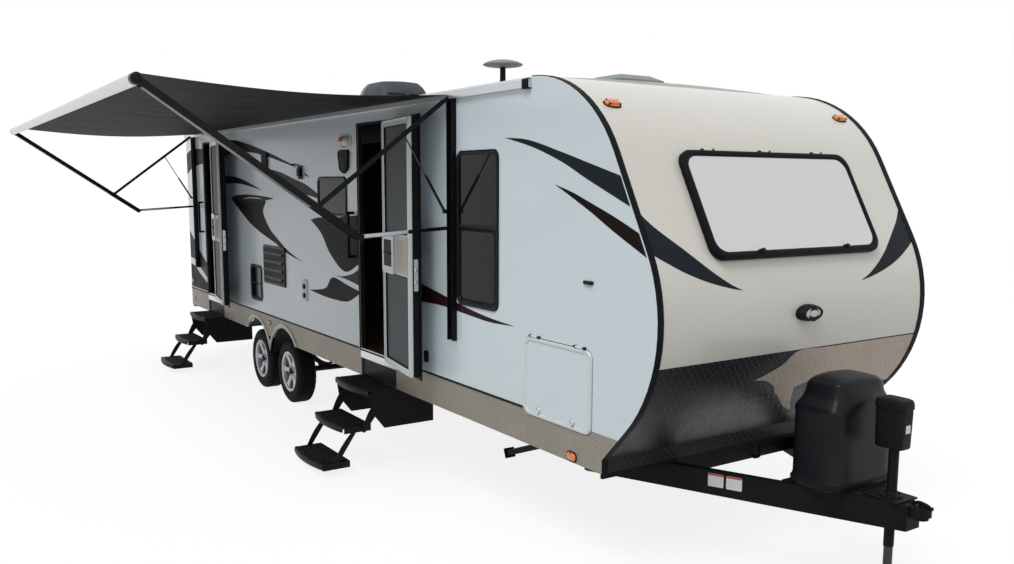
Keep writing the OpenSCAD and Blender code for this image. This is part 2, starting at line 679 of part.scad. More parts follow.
// ---------------------------------------------------------------- roof
module roof_vent_lid() color([0.85, 0.85, 0.83]) {
    difference() {
        hull() {
            block(vent_x - vent_w / 2 - 14, vent_x + vent_w / 2 + 14, -vent_w / 2 - 14, vent_w / 2 + 14, lid_z - 18, lid_z + 20);
            block(vent_x - vent_w / 2 + 60, vent_x + vent_w / 2 - 60, -vent_w / 2 + 60, vent_w / 2 - 60, lid_z + 20, lid_z + 58);
        }
        block(vent_x - vent_w / 2 - 8, vent_x + vent_w / 2 + 8, -vent_w / 2 - 8, vent_w / 2 + 8, lid_z - 18 - e, lid_z);
    }
    for (y = [-120, 120]) difference() {
        union() {
            cyl_y(lid_hinge_x, y - knuckle_l / 2, y + knuckle_l / 2, lid_hinge_z, knuckle_r);
            block(lid_hinge_x, vent_x - vent_w / 2 - 10, y - knuckle_l / 2, y + knuckle_l / 2, lid_hinge_z + 1, lid_hinge_z + 7);
        }
        cyl_y(lid_hinge_x, y - knuckle_l, y + knuckle_l, lid_hinge_z, knuckle_pin_r + pin_fit);
    }
}
ac_x = -6170;
ac_l = 370;
ac_w = 310;
ac_h = 360;
ac_z = roof_z + roof_crown + 25;
antenna_x = -2680;
antenna_y = -870;
antenna_foot_r = 60;
antenna_r = 144;
function crown_z(y) = roof_z + roof_crown - roof_chord_r + sqrt(roof_chord_r * roof_chord_r - y * y);
module roof_units() {
    color([0.75, 0.76, 0.77]) {
        hull() {
            block(ac_x - ac_l, ac_x + ac_l, -ac_w, ac_w, ac_z, ac_z + 90);
            block(ac_x - ac_l + 60, ac_x + ac_l - 90, 50 - ac_w, ac_w - 50, ac_z + 95, ac_z + ac_h);
        }
        block(ac_x - 240, ac_x + 240, -200, 200, roof_z + roof_crown + 0.3, ac_z);
    }
    color([0.80, 0.81, 0.82]) translate([antenna_x, antenna_y, crown_z(antenna_y + antenna_foot_r) + 0.2]) {
        cylinder(r = antenna_foot_r, h = 34);
        cylinder(r = 22, h = 160);
        translate([0, 0, 160]) cylinder(r = antenna_r, h = 44);
    }
}

// ---------------------------------------------------------------- awning
pivot_y = -side_y - 68;
pivot_z = roof_z - 70;
knee = [pivot_y - upper_l * sin(upper_a), pivot_z - upper_l * cos(upper_a)];
out_dir = [-cos(outer_a), sin(outer_a)];
roller_c = knee + outer_l * out_dir;
elbow = knee - inner_l * out_dir;
lower_z = pivot_z - 911;
arm_xs = [arm_front_x, arm_rear_x];
arm_pin_r = 8;
strut_low = [pivot_y, pivot_z - 791];
strut_up = [pivot_y - 410 * sin(upper_a), pivot_z - 410 * cos(upper_a)];
strut_len = norm(strut_up - strut_low);
strut_dir = (strut_up - strut_low) / strut_len;
strut_r = 10;
rod_r = 5;
channel_low = 1219;
channel_half = 36;
channel_d = 42;

module awning_rail() color([0.80, 0.81, 0.82])
    block(rear_x, cap_cx, -side_y - 25, -side_y, roof_z - 66, roof_z - 16);
module awning_channels() color([0.04, 0.04, 0.045]) for (x = arm_xs) {
    difference() {
        block(x - channel_half, x + channel_half, -side_y - channel_d, -side_y, channel_low, roof_z - 68);
        block(x - channel_half + 3, x + channel_half - 3, -side_y - channel_d - e, -side_y - 6, channel_low - e, roof_z - 68 + e);
    }
    for (p = [[pivot_z, 1], [lower_z, -1], [strut_low[1], -1]]) {
        end_view(x - 3, 6) {
            translate([pivot_y, p[0]]) circle(13);
            translate([pivot_y, p[0] - 13]) square([-side_y - 6 - pivot_y, 15]);
        }
        cyl_x(p[1] > 0 ? x - 3 : x - 30, p[1] > 0 ? x + 30 : x + 3, pivot_y, p[0], arm_pin_r);
    }
}
module awning_upper_arms() color([0.04, 0.04, 0.045]) for (x = arm_xs)
    end_view(x + 8, 20) difference() {
        link([pivot_y, pivot_z], knee, 30);
        translate([pivot_y, pivot_z]) circle(arm_pin_r + pin_fit);
        translate(knee) circle(arm_pin_r + pin_fit);
    }
module awning_lower_arms() color([0.04, 0.04, 0.045]) for (x = arm_xs)
    end_view(x - 28, 20) difference() {
        link([pivot_y, lower_z], elbow, 26);
        translate([pivot_y, lower_z]) circle(arm_pin_r + pin_fit);
        translate(elbow) circle(arm_pin_r + pin_fit);
    }
// The outer arm's own axis runs from the elbow to the roller; its web is on the far side
module outer_arm_plan(n0, n1, s0, s1)
    translate(knee) rotate(180 - outer_a) translate([s0, n0]) square([s1 - s0, n1 - n0]);
module awning_outer_arms() color([0.04, 0.04, 0.045]) for (x = arm_xs) {
    for (t = [-36, 33]) end_view(x + t, 3) outer_arm_plan(-19, 26, -inner_l - 20, outer_l);
    end_view(x - 36, 72) outer_arm_plan(23, 26, 40, outer_l - 50);
    // the pin stops short of the other side, where the folded lower arm passes the knee
    cyl_x(x + 4, x + 34, knee[0], knee[1], arm_pin_r);
    // head that carries the roller
    end_view(x - 36, 72) translate(roller_c) circle(30);
}
module awning_roller() color([0.82, 0.82, 0.80])
    cyl_x(arm_rear_x + channel_half, arm_front_x - channel_half, roller_c[0], roller_c[1], roller_r);
strut_tube_l = 300;
strut_rod_l = 355;
module along_strut(x) translate([x - 18, strut_low[0], strut_low[1]])
    rotate([atan2(-strut_dir[0], strut_dir[1]), 0, 0]) children();
module awning_strut_tubes() color([0.04, 0.04, 0.045]) for (x = arm_xs) {
    along_strut(x) difference() {
        translate([0, 0, 10]) cylinder(r = strut_r, h = strut_tube_l - 10);
        translate([0, 0, 20]) cylinder(r = rod_r + slide_fit, h = strut_tube_l);
    }
    end_view(x - 28, 20) translate(strut_low) difference() {
        circle(15);
        circle(arm_pin_r + pin_fit);
    }
}
module awning_strut_rods() color([0.6, 0.6, 0.62]) for (x = arm_xs)
    along_strut(x) translate([0, 0, strut_len - strut_rod_l]) {
        cylinder(r = rod_r, h = strut_rod_l);
        translate([-9, 0, strut_rod_l]) rotate([0, 90, 0]) cylinder(r = 14, h = 18);
    }
module awning_fabric() color([0.20, 0.15, 0.12])
    end_view(arm_rear_x + 50, arm_front_x - arm_rear_x - 100) polygon([
        [-side_y - 25.5, roof_z - 36], [roller_c[0], roller_c[1] + roller_r + 0.6],
        [roller_c[0], roller_c[1] + roller_r + 4.6], [-side_y - 25.5, roof_z - 32]]);

// ---------------------------------------------------------------- tongue fittings
cover_x = -338;
cover_l = 340;
cover_w = 560;
cover_low = tongue_top + 6;
cover_high = 1282;
cover_wall = 5;
module cover_form(d) hull() {
    block(cover_x - cover_l / 2 + d, cover_x + cover_l / 2 - d, -cover_w / 2 + 25, cover_w / 2 - 25, cover_low - d, cover_high - 190);
    block(cover_x - cover_l / 2 + 25, cover_x + cover_l / 2 - 25, -cover_w / 2 + d, cover_w / 2 - d, cover_low - d, cover_high - 190);
    block(cover_x - 100, cover_x + 60, -210, 210, cover_high - 60, cover_high - d);
}
module gas_cover() color([0.04, 0.04, 0.045]) difference() {
    cover_form(0);
    cover_form(cover_wall);
}

head_low = 905;
head_high = 1187;
tube_low = 331;
leg_top = 585;
module jack_body() color([0.05, 0.05, 0.055]) {
    difference() {
        translate([0, 0, tube_low]) cylinder(r = tube_r, h = head_low - tube_low);
        translate([0, 0, tube_low - e]) cylinder(r = leg_r + slide_fit, h = head_low - tube_low - 4);
    }
    difference() {
        translate([0, 0, tongue_top + 10]) cylinder(r = 62, h = 10);
        translate([0, 0, tongue_top + 9]) cylinder(r = leg_r + slide_fit, h = 12);
    }
    block(-107, 83, -65, 65, head_low, head_high);
}
foot_r = 75;
foot_t = 8;
module jack_leg() color([0.45, 0.45, 0.46]) {
    cylinder(r = foot_r, h = foot_t);
    cylinder(r = leg_r, h = leg_top);
}

// ---------------------------------------------------------------- stabilisers
// A channel-section leg on a pin, with a pad at its end
module stabiliser(x, s) color([0.05, 0.05, 0.055])
    translate([x, s * rail_y, stab_z]) rotate([0, -stab_rest, 0]) {
        difference() {
            union() {
                block(-stab_l, 0, -30, 30, -22, 22);
                cyl_y(0, -30, 30, 0, 22);
            }
            block(-stab_l - e, 8, -26, 26, -22 - e, 17);
            cyl_y(0, -31, 31, 0, stab_pin_r + pin_fit);
        }
        block(-stab_l - 8, -stab_l, -45, 45, -38, 38);
    }
module stabiliser_front_right() stabiliser(stab_x[0], -1);
module stabiliser_front_left() stabiliser(stab_x[0], 1);
module stabiliser_rear_right() stabiliser(stab_x[1], -1);
module stabiliser_rear_left() stabiliser(stab_x[1], 1);

// ---------------------------------------------------------------- entry steps
// In end view u runs outward from the centreline. Each tread hangs from the one above on
// swinging arms and stays level.
plate_t = 6;
tread_t = 12;
tread_u = [1233, 1440, 1630];
arm_half = step_half - 13;
tread_half = step_half - 26;
link_half = step_half - 39;
flange_d = 54;
step_pin_r = 7;
slot_d = 144;
pin_a = [1300, tread_top_z - 39];
arm_v = [tread_u[1] - tread_u[0], -tread_drop];
pin_b = pin_a + arm_v;
pin_c = [1575, pin_b[1]];
link_v = [tread_u[2] - tread_u[1], -tread_drop];
pin_d = pin_c + link_v;

module step_view(x, t) end_view(x, t) mirror([1, 0]) children();
module both_sides(x, half) for (s = [0, 1]) step_view(s > 0 ? x + half - plate_t : x - half, plate_t) children();
bow_r = (tread_half * tread_half + tread_bow * tread_bow) / (2 * tread_bow);
module tread(x, u, z, half) translate([x, 0, z - tread_t]) linear_extrude(tread_t) {
    translate([-half, -u - tread_d]) square([2 * half, tread_d]);
    intersection() {
        translate([-half, -u - tread_d - tread_bow]) square([2 * half, tread_bow + 1]);
        translate([0, -u - tread_d - tread_bow + bow_r]) circle(bow_r, $fn = 256);
    }
}
// A stud on each side, between two distances from the middle
module step_studs(x, d0, d1, p) for (s = [-1, 1])
    cyl_x(min(x + s * d0, x + s * d1), max(x + s * d0, x + s * d1), -p[0], p[1], step_pin_r);
module stud_hole(p) translate(p) circle(step_pin_r + pin_fit);
module step_base(x) color([0.04, 0.04, 0.045]) {
    both_sides(x, step_half) difference() {
        polygon([[870, floor_low], [870, 350], [1330, 350], [1440, 490], [1466, tread_top_z - tread_t],
            [1233, tread_top_z - tread_t], [1205, tread_top_z], [1205, floor_low]]);
        stud_hole(pin_a);
    }
    tread(x, tread_u[0], tread_top_z, step_half);
    // riser behind the top tread and a cross tube at the back
    block(x - step_half + plate_t, x + step_half - plate_t, -1204, -1199, tread_top_z - tread_t, floor_low);
    cyl_x(x - step_half + plate_t, x + step_half - plate_t, -884, 366, 12);
}
module step_arms(x) color([0.04, 0.04, 0.045]) {
    both_sides(x, arm_half) link(pin_a, pin_b, 44);
    step_studs(x, arm_half - plate_t, step_half, pin_a);
    step_studs(x, tread_half - plate_t, arm_half, pin_b);
}
module step_middle(x) color([0.04, 0.04, 0.045]) {
    tread(x, tread_u[1], tread_top_z - tread_drop, tread_half);
    both_sides(x, tread_half) difference() {
        translate([tread_u[1], tread_top_z - tread_drop - flange_d]) square([tread_d, flange_d]);
        for (p = [pin_b, pin_c]) stud_hole(p);
    }
}
module step_links(x) color([0.04, 0.04, 0.045]) {
    both_sides(x, link_half) link(pin_c, pin_d, 34);
    for (p = [pin_c, pin_d]) step_studs(x, link_half - plate_t, tread_half, p);
}
module step_lower(x) color([0.04, 0.04, 0.045]) {
    difference() {
        tread(x, tread_u[2], tread_top_z - 2 * tread_drop, tread_half);
        // slots that the links swing through
        for (s = [-1, 1])
            translate([x + s * (link_half - plate_t / 2), -tread_u[2], tread_top_z - 2 * tread_drop - tread_t / 2])
                cube([plate_t + 10, 2 * slot_d, tread_t + 2], center = true);
    }
    both_sides(x, tread_half) difference() {
        translate([tread_u[2], tread_top_z - 2 * tread_drop - flange_d]) square([tread_d, flange_d]);
        stud_hole(pin_d);
    }
}
module front_step_base() step_base(step_well[0]);
module front_step_arms() step_arms(step_well[0]);
module front_step_middle() step_middle(step_well[0]);
module front_step_links() step_links(step_well[0]);
module front_step_lower() step_lower(step_well[0]);
module rear_step_base() step_base(step_well[1]);
module rear_step_arms() step_arms(step_well[1]);
module rear_step_middle() step_middle(step_well[1]);
module rear_step_links() step_links(step_well[1]);
module rear_step_lower() step_lower(step_well[1]);

// ---------------------------------------------------------------- wheels
// Profiles are drawn as [radius, distance outward from the wheel's middle plane]
tread_edge = 28;
bead = 12;
module wheel_at(k, s) translate([axle_x - k * axle_gap, s * hub_in, wheel_r])
    rotate([s > 0 ? -90 : 90, 0, 0]) children();
module tyre(k, s) color([0.03, 0.03, 0.03]) wheel_at(k, s) rotate_extrude($fn = 128) polygon([
    [rim_r - 12, -tyre_w / 2 + 22], [rim_r + 10, -tyre_w / 2 + 10], [(rim_r + wheel_r) / 2, -tyre_w / 2],
    [wheel_r - tread_edge, -tyre_w / 2 + 6], [wheel_r - 6, -tyre_w / 2 + 24], [wheel_r, -tyre_w / 2 + 46],
    [wheel_r, tyre_w / 2 - 46], [wheel_r - 6, tyre_w / 2 - 24], [wheel_r - tread_edge, tyre_w / 2 - 6],
    [(rim_r + wheel_r) / 2, tyre_w / 2], [rim_r + 10, tyre_w / 2 - 10], [rim_r - 12, tyre_w / 2 - 22]]);
spokes = 6;
hub_r = 62;
module rim(k, s) color([0.72, 0.73, 0.75]) wheel_at(k, s) {
    rotate_extrude($fn = 128) polygon([
        [rim_r - 20, -tyre_w / 2 + 12], [rim_r + 6, -tyre_w / 2 + 8], [rim_r - 12, -tyre_w / 2 + 22],
        [rim_r - 12, tyre_w / 2 - 22], [rim_r + 6, tyre_w / 2 - 8], [rim_r - 20, tyre_w / 2 - 12]]);
    difference() {
        union() {
            translate([0, 0, 10]) cylinder(r = hub_r, h = 60);
            for (i = [0:spokes - 1]) rotate(60 * i)
                translate([hub_r - 12, -26, 34]) cube([rim_r - 4 - hub_r, 52, 28]);
            translate([0, 0, 70]) cylinder(r = 34, h = 18);
        }
        translate([0, 0, -e]) cylinder(r = spindle_r + pin_fit, h = 62 + e);
    }
}
module tyre_front_right() tyre(0, -1);
module tyre_rear_right() tyre(1, -1);
module tyre_front_left() tyre(0, 1);
module tyre_rear_left() tyre(1, 1);
module rim_front_right() rim(0, -1);
module rim_rear_right() rim(1, -1);
module rim_front_left() rim(0, 1);
module rim_rear_left() rim(1, 1);

chassis_frame();
a_frame();
coupler();
axles();
floor();
right_wall();
left_wall();
front_cap();
lower_front_panel();
rear_wall();
roof();
skirts();
body_trims();
window_frames();
window_glass();
rock_guard();
baggage_door_right();
baggage_door_left();
door_trims();
front_door();
front_door_screen();
rear_door();
rear_door_screen();
wall_fittings();
roof_vent_lid();
roof_units();
awning_rail();
awning_channels();
awning_upper_arms();
awning_outer_arms();
awning_roller();
awning_lower_arms();
awning_strut_tubes();
awning_strut_rods();
awning_fabric();
gas_cover();
jack_body();
jack_leg();
stabiliser_front_right();
stabiliser_front_left();
stabiliser_rear_right();
stabiliser_rear_left();
front_step_base();
front_step_arms();
front_step_middle();
front_step_links();
front_step_lower();
rear_step_base();
rear_step_arms();
rear_step_middle();
rear_step_links();
rear_step_lower();
tyre_front_right();
tyre_rear_right();
tyre_front_left();
tyre_rear_left();
rim_front_right();
rim_rear_right();
rim_front_left();
rim_rear_left();
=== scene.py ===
import math
import random

import bmesh
import bpy
from mathutils import Matrix, Vector


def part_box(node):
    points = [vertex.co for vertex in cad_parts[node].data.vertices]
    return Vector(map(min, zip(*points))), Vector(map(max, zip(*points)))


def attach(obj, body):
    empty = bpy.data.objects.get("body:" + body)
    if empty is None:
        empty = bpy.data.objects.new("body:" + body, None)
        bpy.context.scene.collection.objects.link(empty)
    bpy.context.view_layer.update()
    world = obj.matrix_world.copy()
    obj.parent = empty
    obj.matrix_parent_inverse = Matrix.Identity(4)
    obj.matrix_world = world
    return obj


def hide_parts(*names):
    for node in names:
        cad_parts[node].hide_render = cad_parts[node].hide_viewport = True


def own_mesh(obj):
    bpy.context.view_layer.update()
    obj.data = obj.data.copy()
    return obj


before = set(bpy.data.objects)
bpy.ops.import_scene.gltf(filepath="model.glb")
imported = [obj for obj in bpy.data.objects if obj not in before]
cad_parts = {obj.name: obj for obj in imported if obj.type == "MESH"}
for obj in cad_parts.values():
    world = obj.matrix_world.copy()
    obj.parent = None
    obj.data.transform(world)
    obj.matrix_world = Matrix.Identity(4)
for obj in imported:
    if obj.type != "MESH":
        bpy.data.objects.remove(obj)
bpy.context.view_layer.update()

rng = random.Random(11)
scene = bpy.context.scene

# ------------------------------------------------------------------ camera
camera_data = bpy.data.cameras.new("camera")
camera_data.lens = 32.30
camera_data.sensor_width = 36.0
camera_data.shift_y = 0.0215
camera_data.clip_end = 400.0
camera = bpy.data.objects.new("camera", camera_data)
scene.collection.objects.link(camera)
yaw, pitch, roll = (math.radians(a) for a in (146.465, -7.537, 0.213))
forward = Vector((math.cos(pitch) * math.cos(yaw), math.cos(pitch) * math.sin(yaw), math.sin(pitch)))
turn = forward.to_track_quat("-Z", "Y").to_matrix() @ Matrix.Rotation(roll, 3, "Z")
camera.matrix_world = Matrix.Translation((2.920, -4.538, 2.3595)) @ turn.to_4x4()
scene.camera = camera

# ------------------------------------------------------------------ named sizes, from the CAD frame
wall_lo, wall_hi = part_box("right_wall")
SIDE = -wall_lo.y                       # half the body's width
INNER = -wall_hi.y
ROOF = wall_hi.z
REAR = wall_lo.x
FLOOR = wall_lo.z
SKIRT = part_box("skirts")[0].z
NOSE = wall_hi.x
NOSE_R, NOSE_Z = 0.900, 1.584           # the cap's two radii and the slope between them
CAP_R, CAP_A = 0.900, math.radians(28)
NOSE_LOW = math.radians(-43)
SLOPE_X, SLOPE_Z = NOSE - NOSE_R + NOSE_R * math.cos(CAP_A), NOSE_Z + NOSE_R * math.sin(CAP_A)
CAP_LOW_Z = ROOF - CAP_R + CAP_R * math.sin(CAP_A)
CAP_CX = SLOPE_X - (CAP_LOW_Z - SLOPE_Z) * math.tan(CAP_A) - CAP_R * math.cos(CAP_A)
TRIM_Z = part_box("front_cap")[0].z
LOW_Z = NOSE_Z + NOSE_R * math.sin(NOSE_LOW)
LOW_X = NOSE - NOSE_R + NOSE_R * math.cos(NOSE_LOW)


def front_point(y, z, d=0.0):
    """The point of the caravan's front at height z, moved outward by d."""
    if z > CAP_LOW_Z:
        a = math.asin(min(1.0, (z - ROOF + CAP_R) / CAP_R))
        x = CAP_CX + CAP_R * math.cos(a)
    elif z > SLOPE_Z:
        a = CAP_A
        x = SLOPE_X - (z - SLOPE_Z) * math.tan(CAP_A)
    elif z > LOW_Z:
        a = math.asin((z - NOSE_Z) / NOSE_R)
        x = NOSE - NOSE_R + NOSE_R * math.cos(a)
    else:
        a = NOSE_LOW
        x = LOW_X + (z - LOW_Z) / math.tan(math.radians(47)) * 1.0
    return Vector((x + d * math.cos(a), y, z + d * math.sin(a)))


# ------------------------------------------------------------------ materials
class Shader:
    """A material being built on a Principled shader, from object coordinates in metres."""

    def __init__(self, name, rough=0.5, metal=0.0, coat=0.0, coat_rough=0.1, **sockets):
        self.mat = bpy.data.materials.new(name)
        self.mat.use_nodes = True
        self.tree = self.mat.node_tree
        self.bsdf = self.tree.nodes["Principled BSDF"]
        self.rough = rough
        values = {"Roughness": rough, "Metallic": metal, "Coat Weight": coat, "Coat Roughness": coat_rough}
        values.update(sockets)
        for key, value in values.items():
            self.bsdf.inputs[key].default_value = value
        self.place = self.add("ShaderNodeTexCoord").outputs["Object"]
        self.normal = None

    def add(self, kind, inputs=None, **props):
        n = self.tree.nodes.new(kind)
        for key, value in props.items():
            setattr(n, key, value)
        for key, value in (inputs or {}).items():
            if isinstance(value, bpy.types.NodeSocket):
                self.tree.links.new(value, n.inputs[key])
            else:
                n.inputs[key].default_value = value
        return n

    def math(self, op, a, b=0.0, c=0.0, clamp=False):
        return self.add("ShaderNodeMath", {0: a, 1: b, 2: c}, operation=op, use_clamp=clamp).outputs[0]

    def axes(self, place=None):
        n = self.add("ShaderNodeSeparateXYZ", {0: place or self.place})
        return n.outputs[0], n.outputs[1], n.outputs[2]

    def stretched(self, scale):
        return self.add("ShaderNodeMapping", {"Vector": self.place, "Scale": scale}).outputs[0]

    def noise(self, scale, detail=3.0, stretch=None, rough=0.5, distort=0.0):
        where = self.stretched(stretch) if stretch else self.place
        n = self.add("ShaderNodeTexNoise", {"Vector": where, "Scale": scale, "Detail": detail,
                                            "Roughness": rough, "Distortion": distort})
        return n.outputs[0]

    def span(self, value, a, b, c=0.0, d=1.0, smooth=False):
        kind = "SMOOTHSTEP" if smooth else "LINEAR"
        n = self.add("ShaderNodeMapRange", {0: value, 1: a, 2: b, 3: c, 4: d}, interpolation_type=kind)
        return n.outputs[0]

    def mix(self, factor, a, b):
        a, b = ((*x, 1.0) if isinstance(x, tuple) and len(x) == 3 else x for x in (a, b))
        return self.add("ShaderNodeMix", {0: factor, 6: a, 7: b}, data_type="RGBA").outputs[2]

    def color(self, value):
        self.tree.links.new(value, self.bsdf.inputs["Base Color"])

    def roughness(self, factor, a, b):
        self.tree.links.new(self.span(factor, 0.0, 1.0, a, b), self.bsdf.inputs["Roughness"])

    def bump(self, height, distance, strength=1.0):
        inputs = {"Height": height, "Distance": distance, "Strength": strength}
        if self.normal:
            inputs["Normal"] = self.normal
        self.normal = self.add("ShaderNodeBump", inputs).outputs[0]

    def done(self):
        if self.normal:
            self.tree.links.new(self.normal, self.bsdf.inputs["Normal"])
        return self.mat


PAINTED_SHADE_AND_BELLY = (0.022, 0.019, 0.016)          # dark colour painted as shade on the inner faces of the wall panels, and the real black belly under the floor


def tint(color, k):
    return tuple(min(1.0, c * k) for c in color)


def lozenges(s, u, v, pitch):
    """Raised lozenges of tread plate, laid in turn along each diagonal. Gives 0 between them and 1 on top."""
    a = s.math("MULTIPLY", s.math("ADD", u, v), 0.7071 / pitch)
    b = s.math("MULTIPLY", s.math("SUBTRACT", u, v), 0.7071 / pitch)
    odd = s.math("MODULO", s.math("ABSOLUTE", s.math("ADD", s.math("FLOOR", a), s.math("FLOOR", b))), 2.0)
    fa, fb = (s.math("SUBTRACT", s.math("FRACT", x), 0.5) for x in (a, b))
    same = s.math("SUBTRACT", 1.0, odd)
    along = s.math("ADD", s.math("MULTIPLY", fa, same), s.math("MULTIPLY", fb, odd))
    across = s.math("ADD", s.math("MULTIPLY", fb, same), s.math("MULTIPLY", fa, odd))
    r = s.math("ADD", s.math("POWER", s.math("ABSOLUTE", s.math("DIVIDE", along, 0.46)), 1.6),
               s.math("POWER", s.math("ABSOLUTE", s.math("DIVIDE", across, 0.15)), 1.6))
    return s.span(r, 1.0, 0.35, 0.0, 1.0, smooth=True)


def paint(name, color, rough=0.4, metal=0.0, coat=0.0, mottle=0.05, grain=(260.0, 0.0002), wave=0.0,
          dust=0.0, dust_top=0.9, wear=0.0, streak=None, dust_color=(0.30, 0.27, 0.22), spec=0.5, skin=None):
    """Paint, gel coat, plastic or rubber: mottled colour, orange peel or grain, and dust that thins with height.

    skin: (axis, place) limits the colour to the outer skin, beyond that place on either side of the centre; the faces
    nearer the centre get the dark colour as painted shade.
    """
    s = Shader(name, rough, metal, coat)
    s.bsdf.inputs["Specular IOR Level"].default_value = spec
    wide = s.noise(1.7, 4.0)
    fine = s.noise(38.0, 3.0)
    c = s.mix(wide, tint(color, 1 - mottle), tint(color, 1 + mottle))
    c = s.mix(s.span(fine, 0.35, 0.75, 0.0, 0.5), c, (*tint(color, 1 - 1.6 * mottle), 1.0))
    if streak:
        lines = s.noise(streak, 3.0, stretch=(1.0, 1.0, 0.06))
        c = s.mix(s.span(lines, 0.58, 0.80, 0.0, 0.35), c, (*tint(color, 0.72), 1.0))
    if wear:
        chips = s.noise(70.0, 6.0, rough=0.7)
        c = s.mix(s.span(chips, 0.66, 0.74, 0.0, wear), c, (*tint(color, 4.0), 1.0))
    if dust:
        z = s.axes()[2]
        low = s.span(z, dust_top, 0.0, 0.0, dust)
        c = s.mix(s.math("MULTIPLY", low, s.span(s.noise(9.0, 5.0), 0.25, 0.75)), c, (*dust_color, 1.0))
    if skin:
        # painted shade: faces inside the outer skin take the dark colour, standing in for the unlit inside of the van
        c = s.mix(s.math("GREATER_THAN", s.math("ABSOLUTE", s.axes()[skin[0]]), skin[1]), (*PAINTED_SHADE_AND_BELLY, 1.0), c)
    s.color(c)
    s.roughness(s.noise(6.0, 4.0), max(0.02, rough - 0.08), min(1.0, rough + 0.10))
    if wave:
        s.bump(s.noise(1.1, 2.0), wave)
    s.bump(s.noise(grain[0], 2.0), grain[1], 0.6)
    return s.done()


def plate(name, color, metal, rough, upright, pitch=0.034, height=0.0014, raised_highlight=1.7, spec=0.5):
    """Embossed tread plate, with the tops of the raised lozenges painted lighter by raised_highlight as a painted
    highlight. upright: the pattern runs in X and Z, and otherwise in Y and Z.
    """
    s = Shader(name, rough, metal)
    s.bsdf.inputs["Specular IOR Level"].default_value = spec
    x, y, z = s.axes()
    raised = lozenges(s, x if upright else y, z, pitch)
    c = s.mix(s.noise(3.0, 4.0), tint(color, 0.85), tint(color, 1.12))
    # painted highlight: the raised lozenges are painted lighter
    c = s.mix(s.span(raised, 0.2, 1.0, 0.0, 0.75), c, (*tint(color, raised_highlight), 1.0))
    c = s.mix(s.span(s.noise(26.0, 5.0, rough=0.7), 0.55, 0.80, 0.0, 0.35), c, (*tint(color, 0.55), 1.0))
    s.color(c)
    s.roughness(s.noise(14.0, 4.0), rough - 0.08, rough + 0.14)
    s.bump(raised, height)
    s.bump(s.noise(180.0, 2.0), 0.0003, 0.5)
    return s.done()


def cloth(name, color, gloss=0.62):
    """Coated awning cloth: a fine weave, welded panel seams across it and slow fading."""
    s = Shader(name, gloss)
    s.bsdf.inputs["Specular IOR Level"].default_value = 0.07
    x, y, z = s.axes()
    s.color(s.mix(s.noise(1.3, 4.0, stretch=(0.35, 1.0, 1.0)), tint(color, 0.78), tint(color, 1.25)))
    warp = s.math("SINE", s.math("MULTIPLY", x, 2600.0))
    weft = s.math("SINE", s.math("MULTIPLY", y, 2600.0))
    s.bump(s.math("MULTIPLY", warp, weft), 0.0002, 0.5)
    seam = s.math("ABSOLUTE", s.math("SUBTRACT", s.math("FRACT", s.math("MULTIPLY", x, 0.6)), 0.5))
    s.bump(s.span(seam, 0.0, 0.012, 1.0, 0.0, smooth=True), 0.0012)
    s.bump(s.noise(2.2, 3.0, stretch=(1.0, 0.3, 1.0)), 0.006)
    return s.done()


def brushed(name, color, rough=0.32, stretch=(0.04, 1.0, 1.0), scale=220.0, coat=0.0):
    s = Shader(name, rough, 1.0, coat)
    lines = s.noise(scale, 3.0, stretch=stretch)
    s.color(s.mix(lines, tint(color, 0.84), tint(color, 1.1)))
    s.roughness(lines, rough - 0.07, rough + 0.10)
    s.bump(lines, 0.00015, 0.5)
    return s.done()


def lens(name, color, glow=0.0):
    s = Shader(name, 0.12, 0.0, 0.6, IOR=1.49)
    x, y, z = s.axes()
    ribs = s.math("SINE", s.math("MULTIPLY", s.math("ADD", x, s.math("MULTIPLY", y, 1.0)), 900.0))
    s.color(s.mix(s.span(ribs, -1.0, 1.0), tint(color, 0.72), tint(color, 1.15)))
    s.bump(ribs, 0.0006, 0.6)
    return s.done()


def tinted_glass(name, color):
    s = Shader(name, 0.04, 0.0, 0.0, IOR=1.5)
    s.color(s.mix(s.noise(0.9, 2.0), tint(color, 0.8), tint(color, 1.2)))
    s.bump(s.noise(1.6, 1.0), 0.0006)
    s.bsdf.inputs["Specular IOR Level"].default_value = 0.13
    return s.done()


def screen(name, color):
    """Insect screen, drawn as a fine square grid of wires."""
    s = Shader(name, 0.6)
    x, y, z = s.axes()
    grid = [s.math("ABSOLUTE", s.math("SINE", s.math("MULTIPLY", v, 1100.0))) for v in (x, z)]
    wire = s.math("MINIMUM", grid[0], grid[1])
    s.color(s.mix(s.span(wire, 0.15, 0.55), tint(color, 1.9), tint(color, 0.55)))
    s.bump(wire, 0.0003, 0.6)
    return s.done()


def timber(name, color):
    s = Shader(name, 0.45, coat=0.15)
    grain = s.noise(26.0, 5.0, stretch=(0.08, 1.0, 1.0), distort=0.6)
    # the underside of the floor takes the dark colour of the black belly
    s.color(s.mix(s.math("GREATER_THAN", s.axes()[2], FLOOR - 0.010), (*PAINTED_SHADE_AND_BELLY, 1.0), s.mix(grain, tint(color, 0.6), tint(color, 1.25))))
    y = s.axes()[1]
    gap = s.math("ABSOLUTE", s.math("SUBTRACT", s.math("FRACT", s.math("MULTIPLY", y, 6.5)), 0.5))
    s.bump(s.span(gap, 0.0, 0.02, 0.0, 1.0, smooth=True), 0.0015)
    s.bump(grain, 0.0003)
    return s.done()


def rubber(name, color):
    """Tyre rubber with dusty patches over it and a fine grain."""
    s = Shader(name, 0.72)
    s.bsdf.inputs["Specular IOR Level"].default_value = 0.10
    c = s.mix(s.noise(22.0, 5.0), tint(color, 0.8), tint(color, 1.35))
    c = s.mix(s.span(s.noise(7.0, 5.0), 0.50, 0.80, 0.0, 0.20), c, (0.035, 0.034, 0.031, 1.0))
    s.color(c)
    s.roughness(s.noise(12.0, 3.0), 0.62, 0.86)
    s.bump(s.noise(320.0, 2.0), 0.0004, 0.6)
    return s.done()


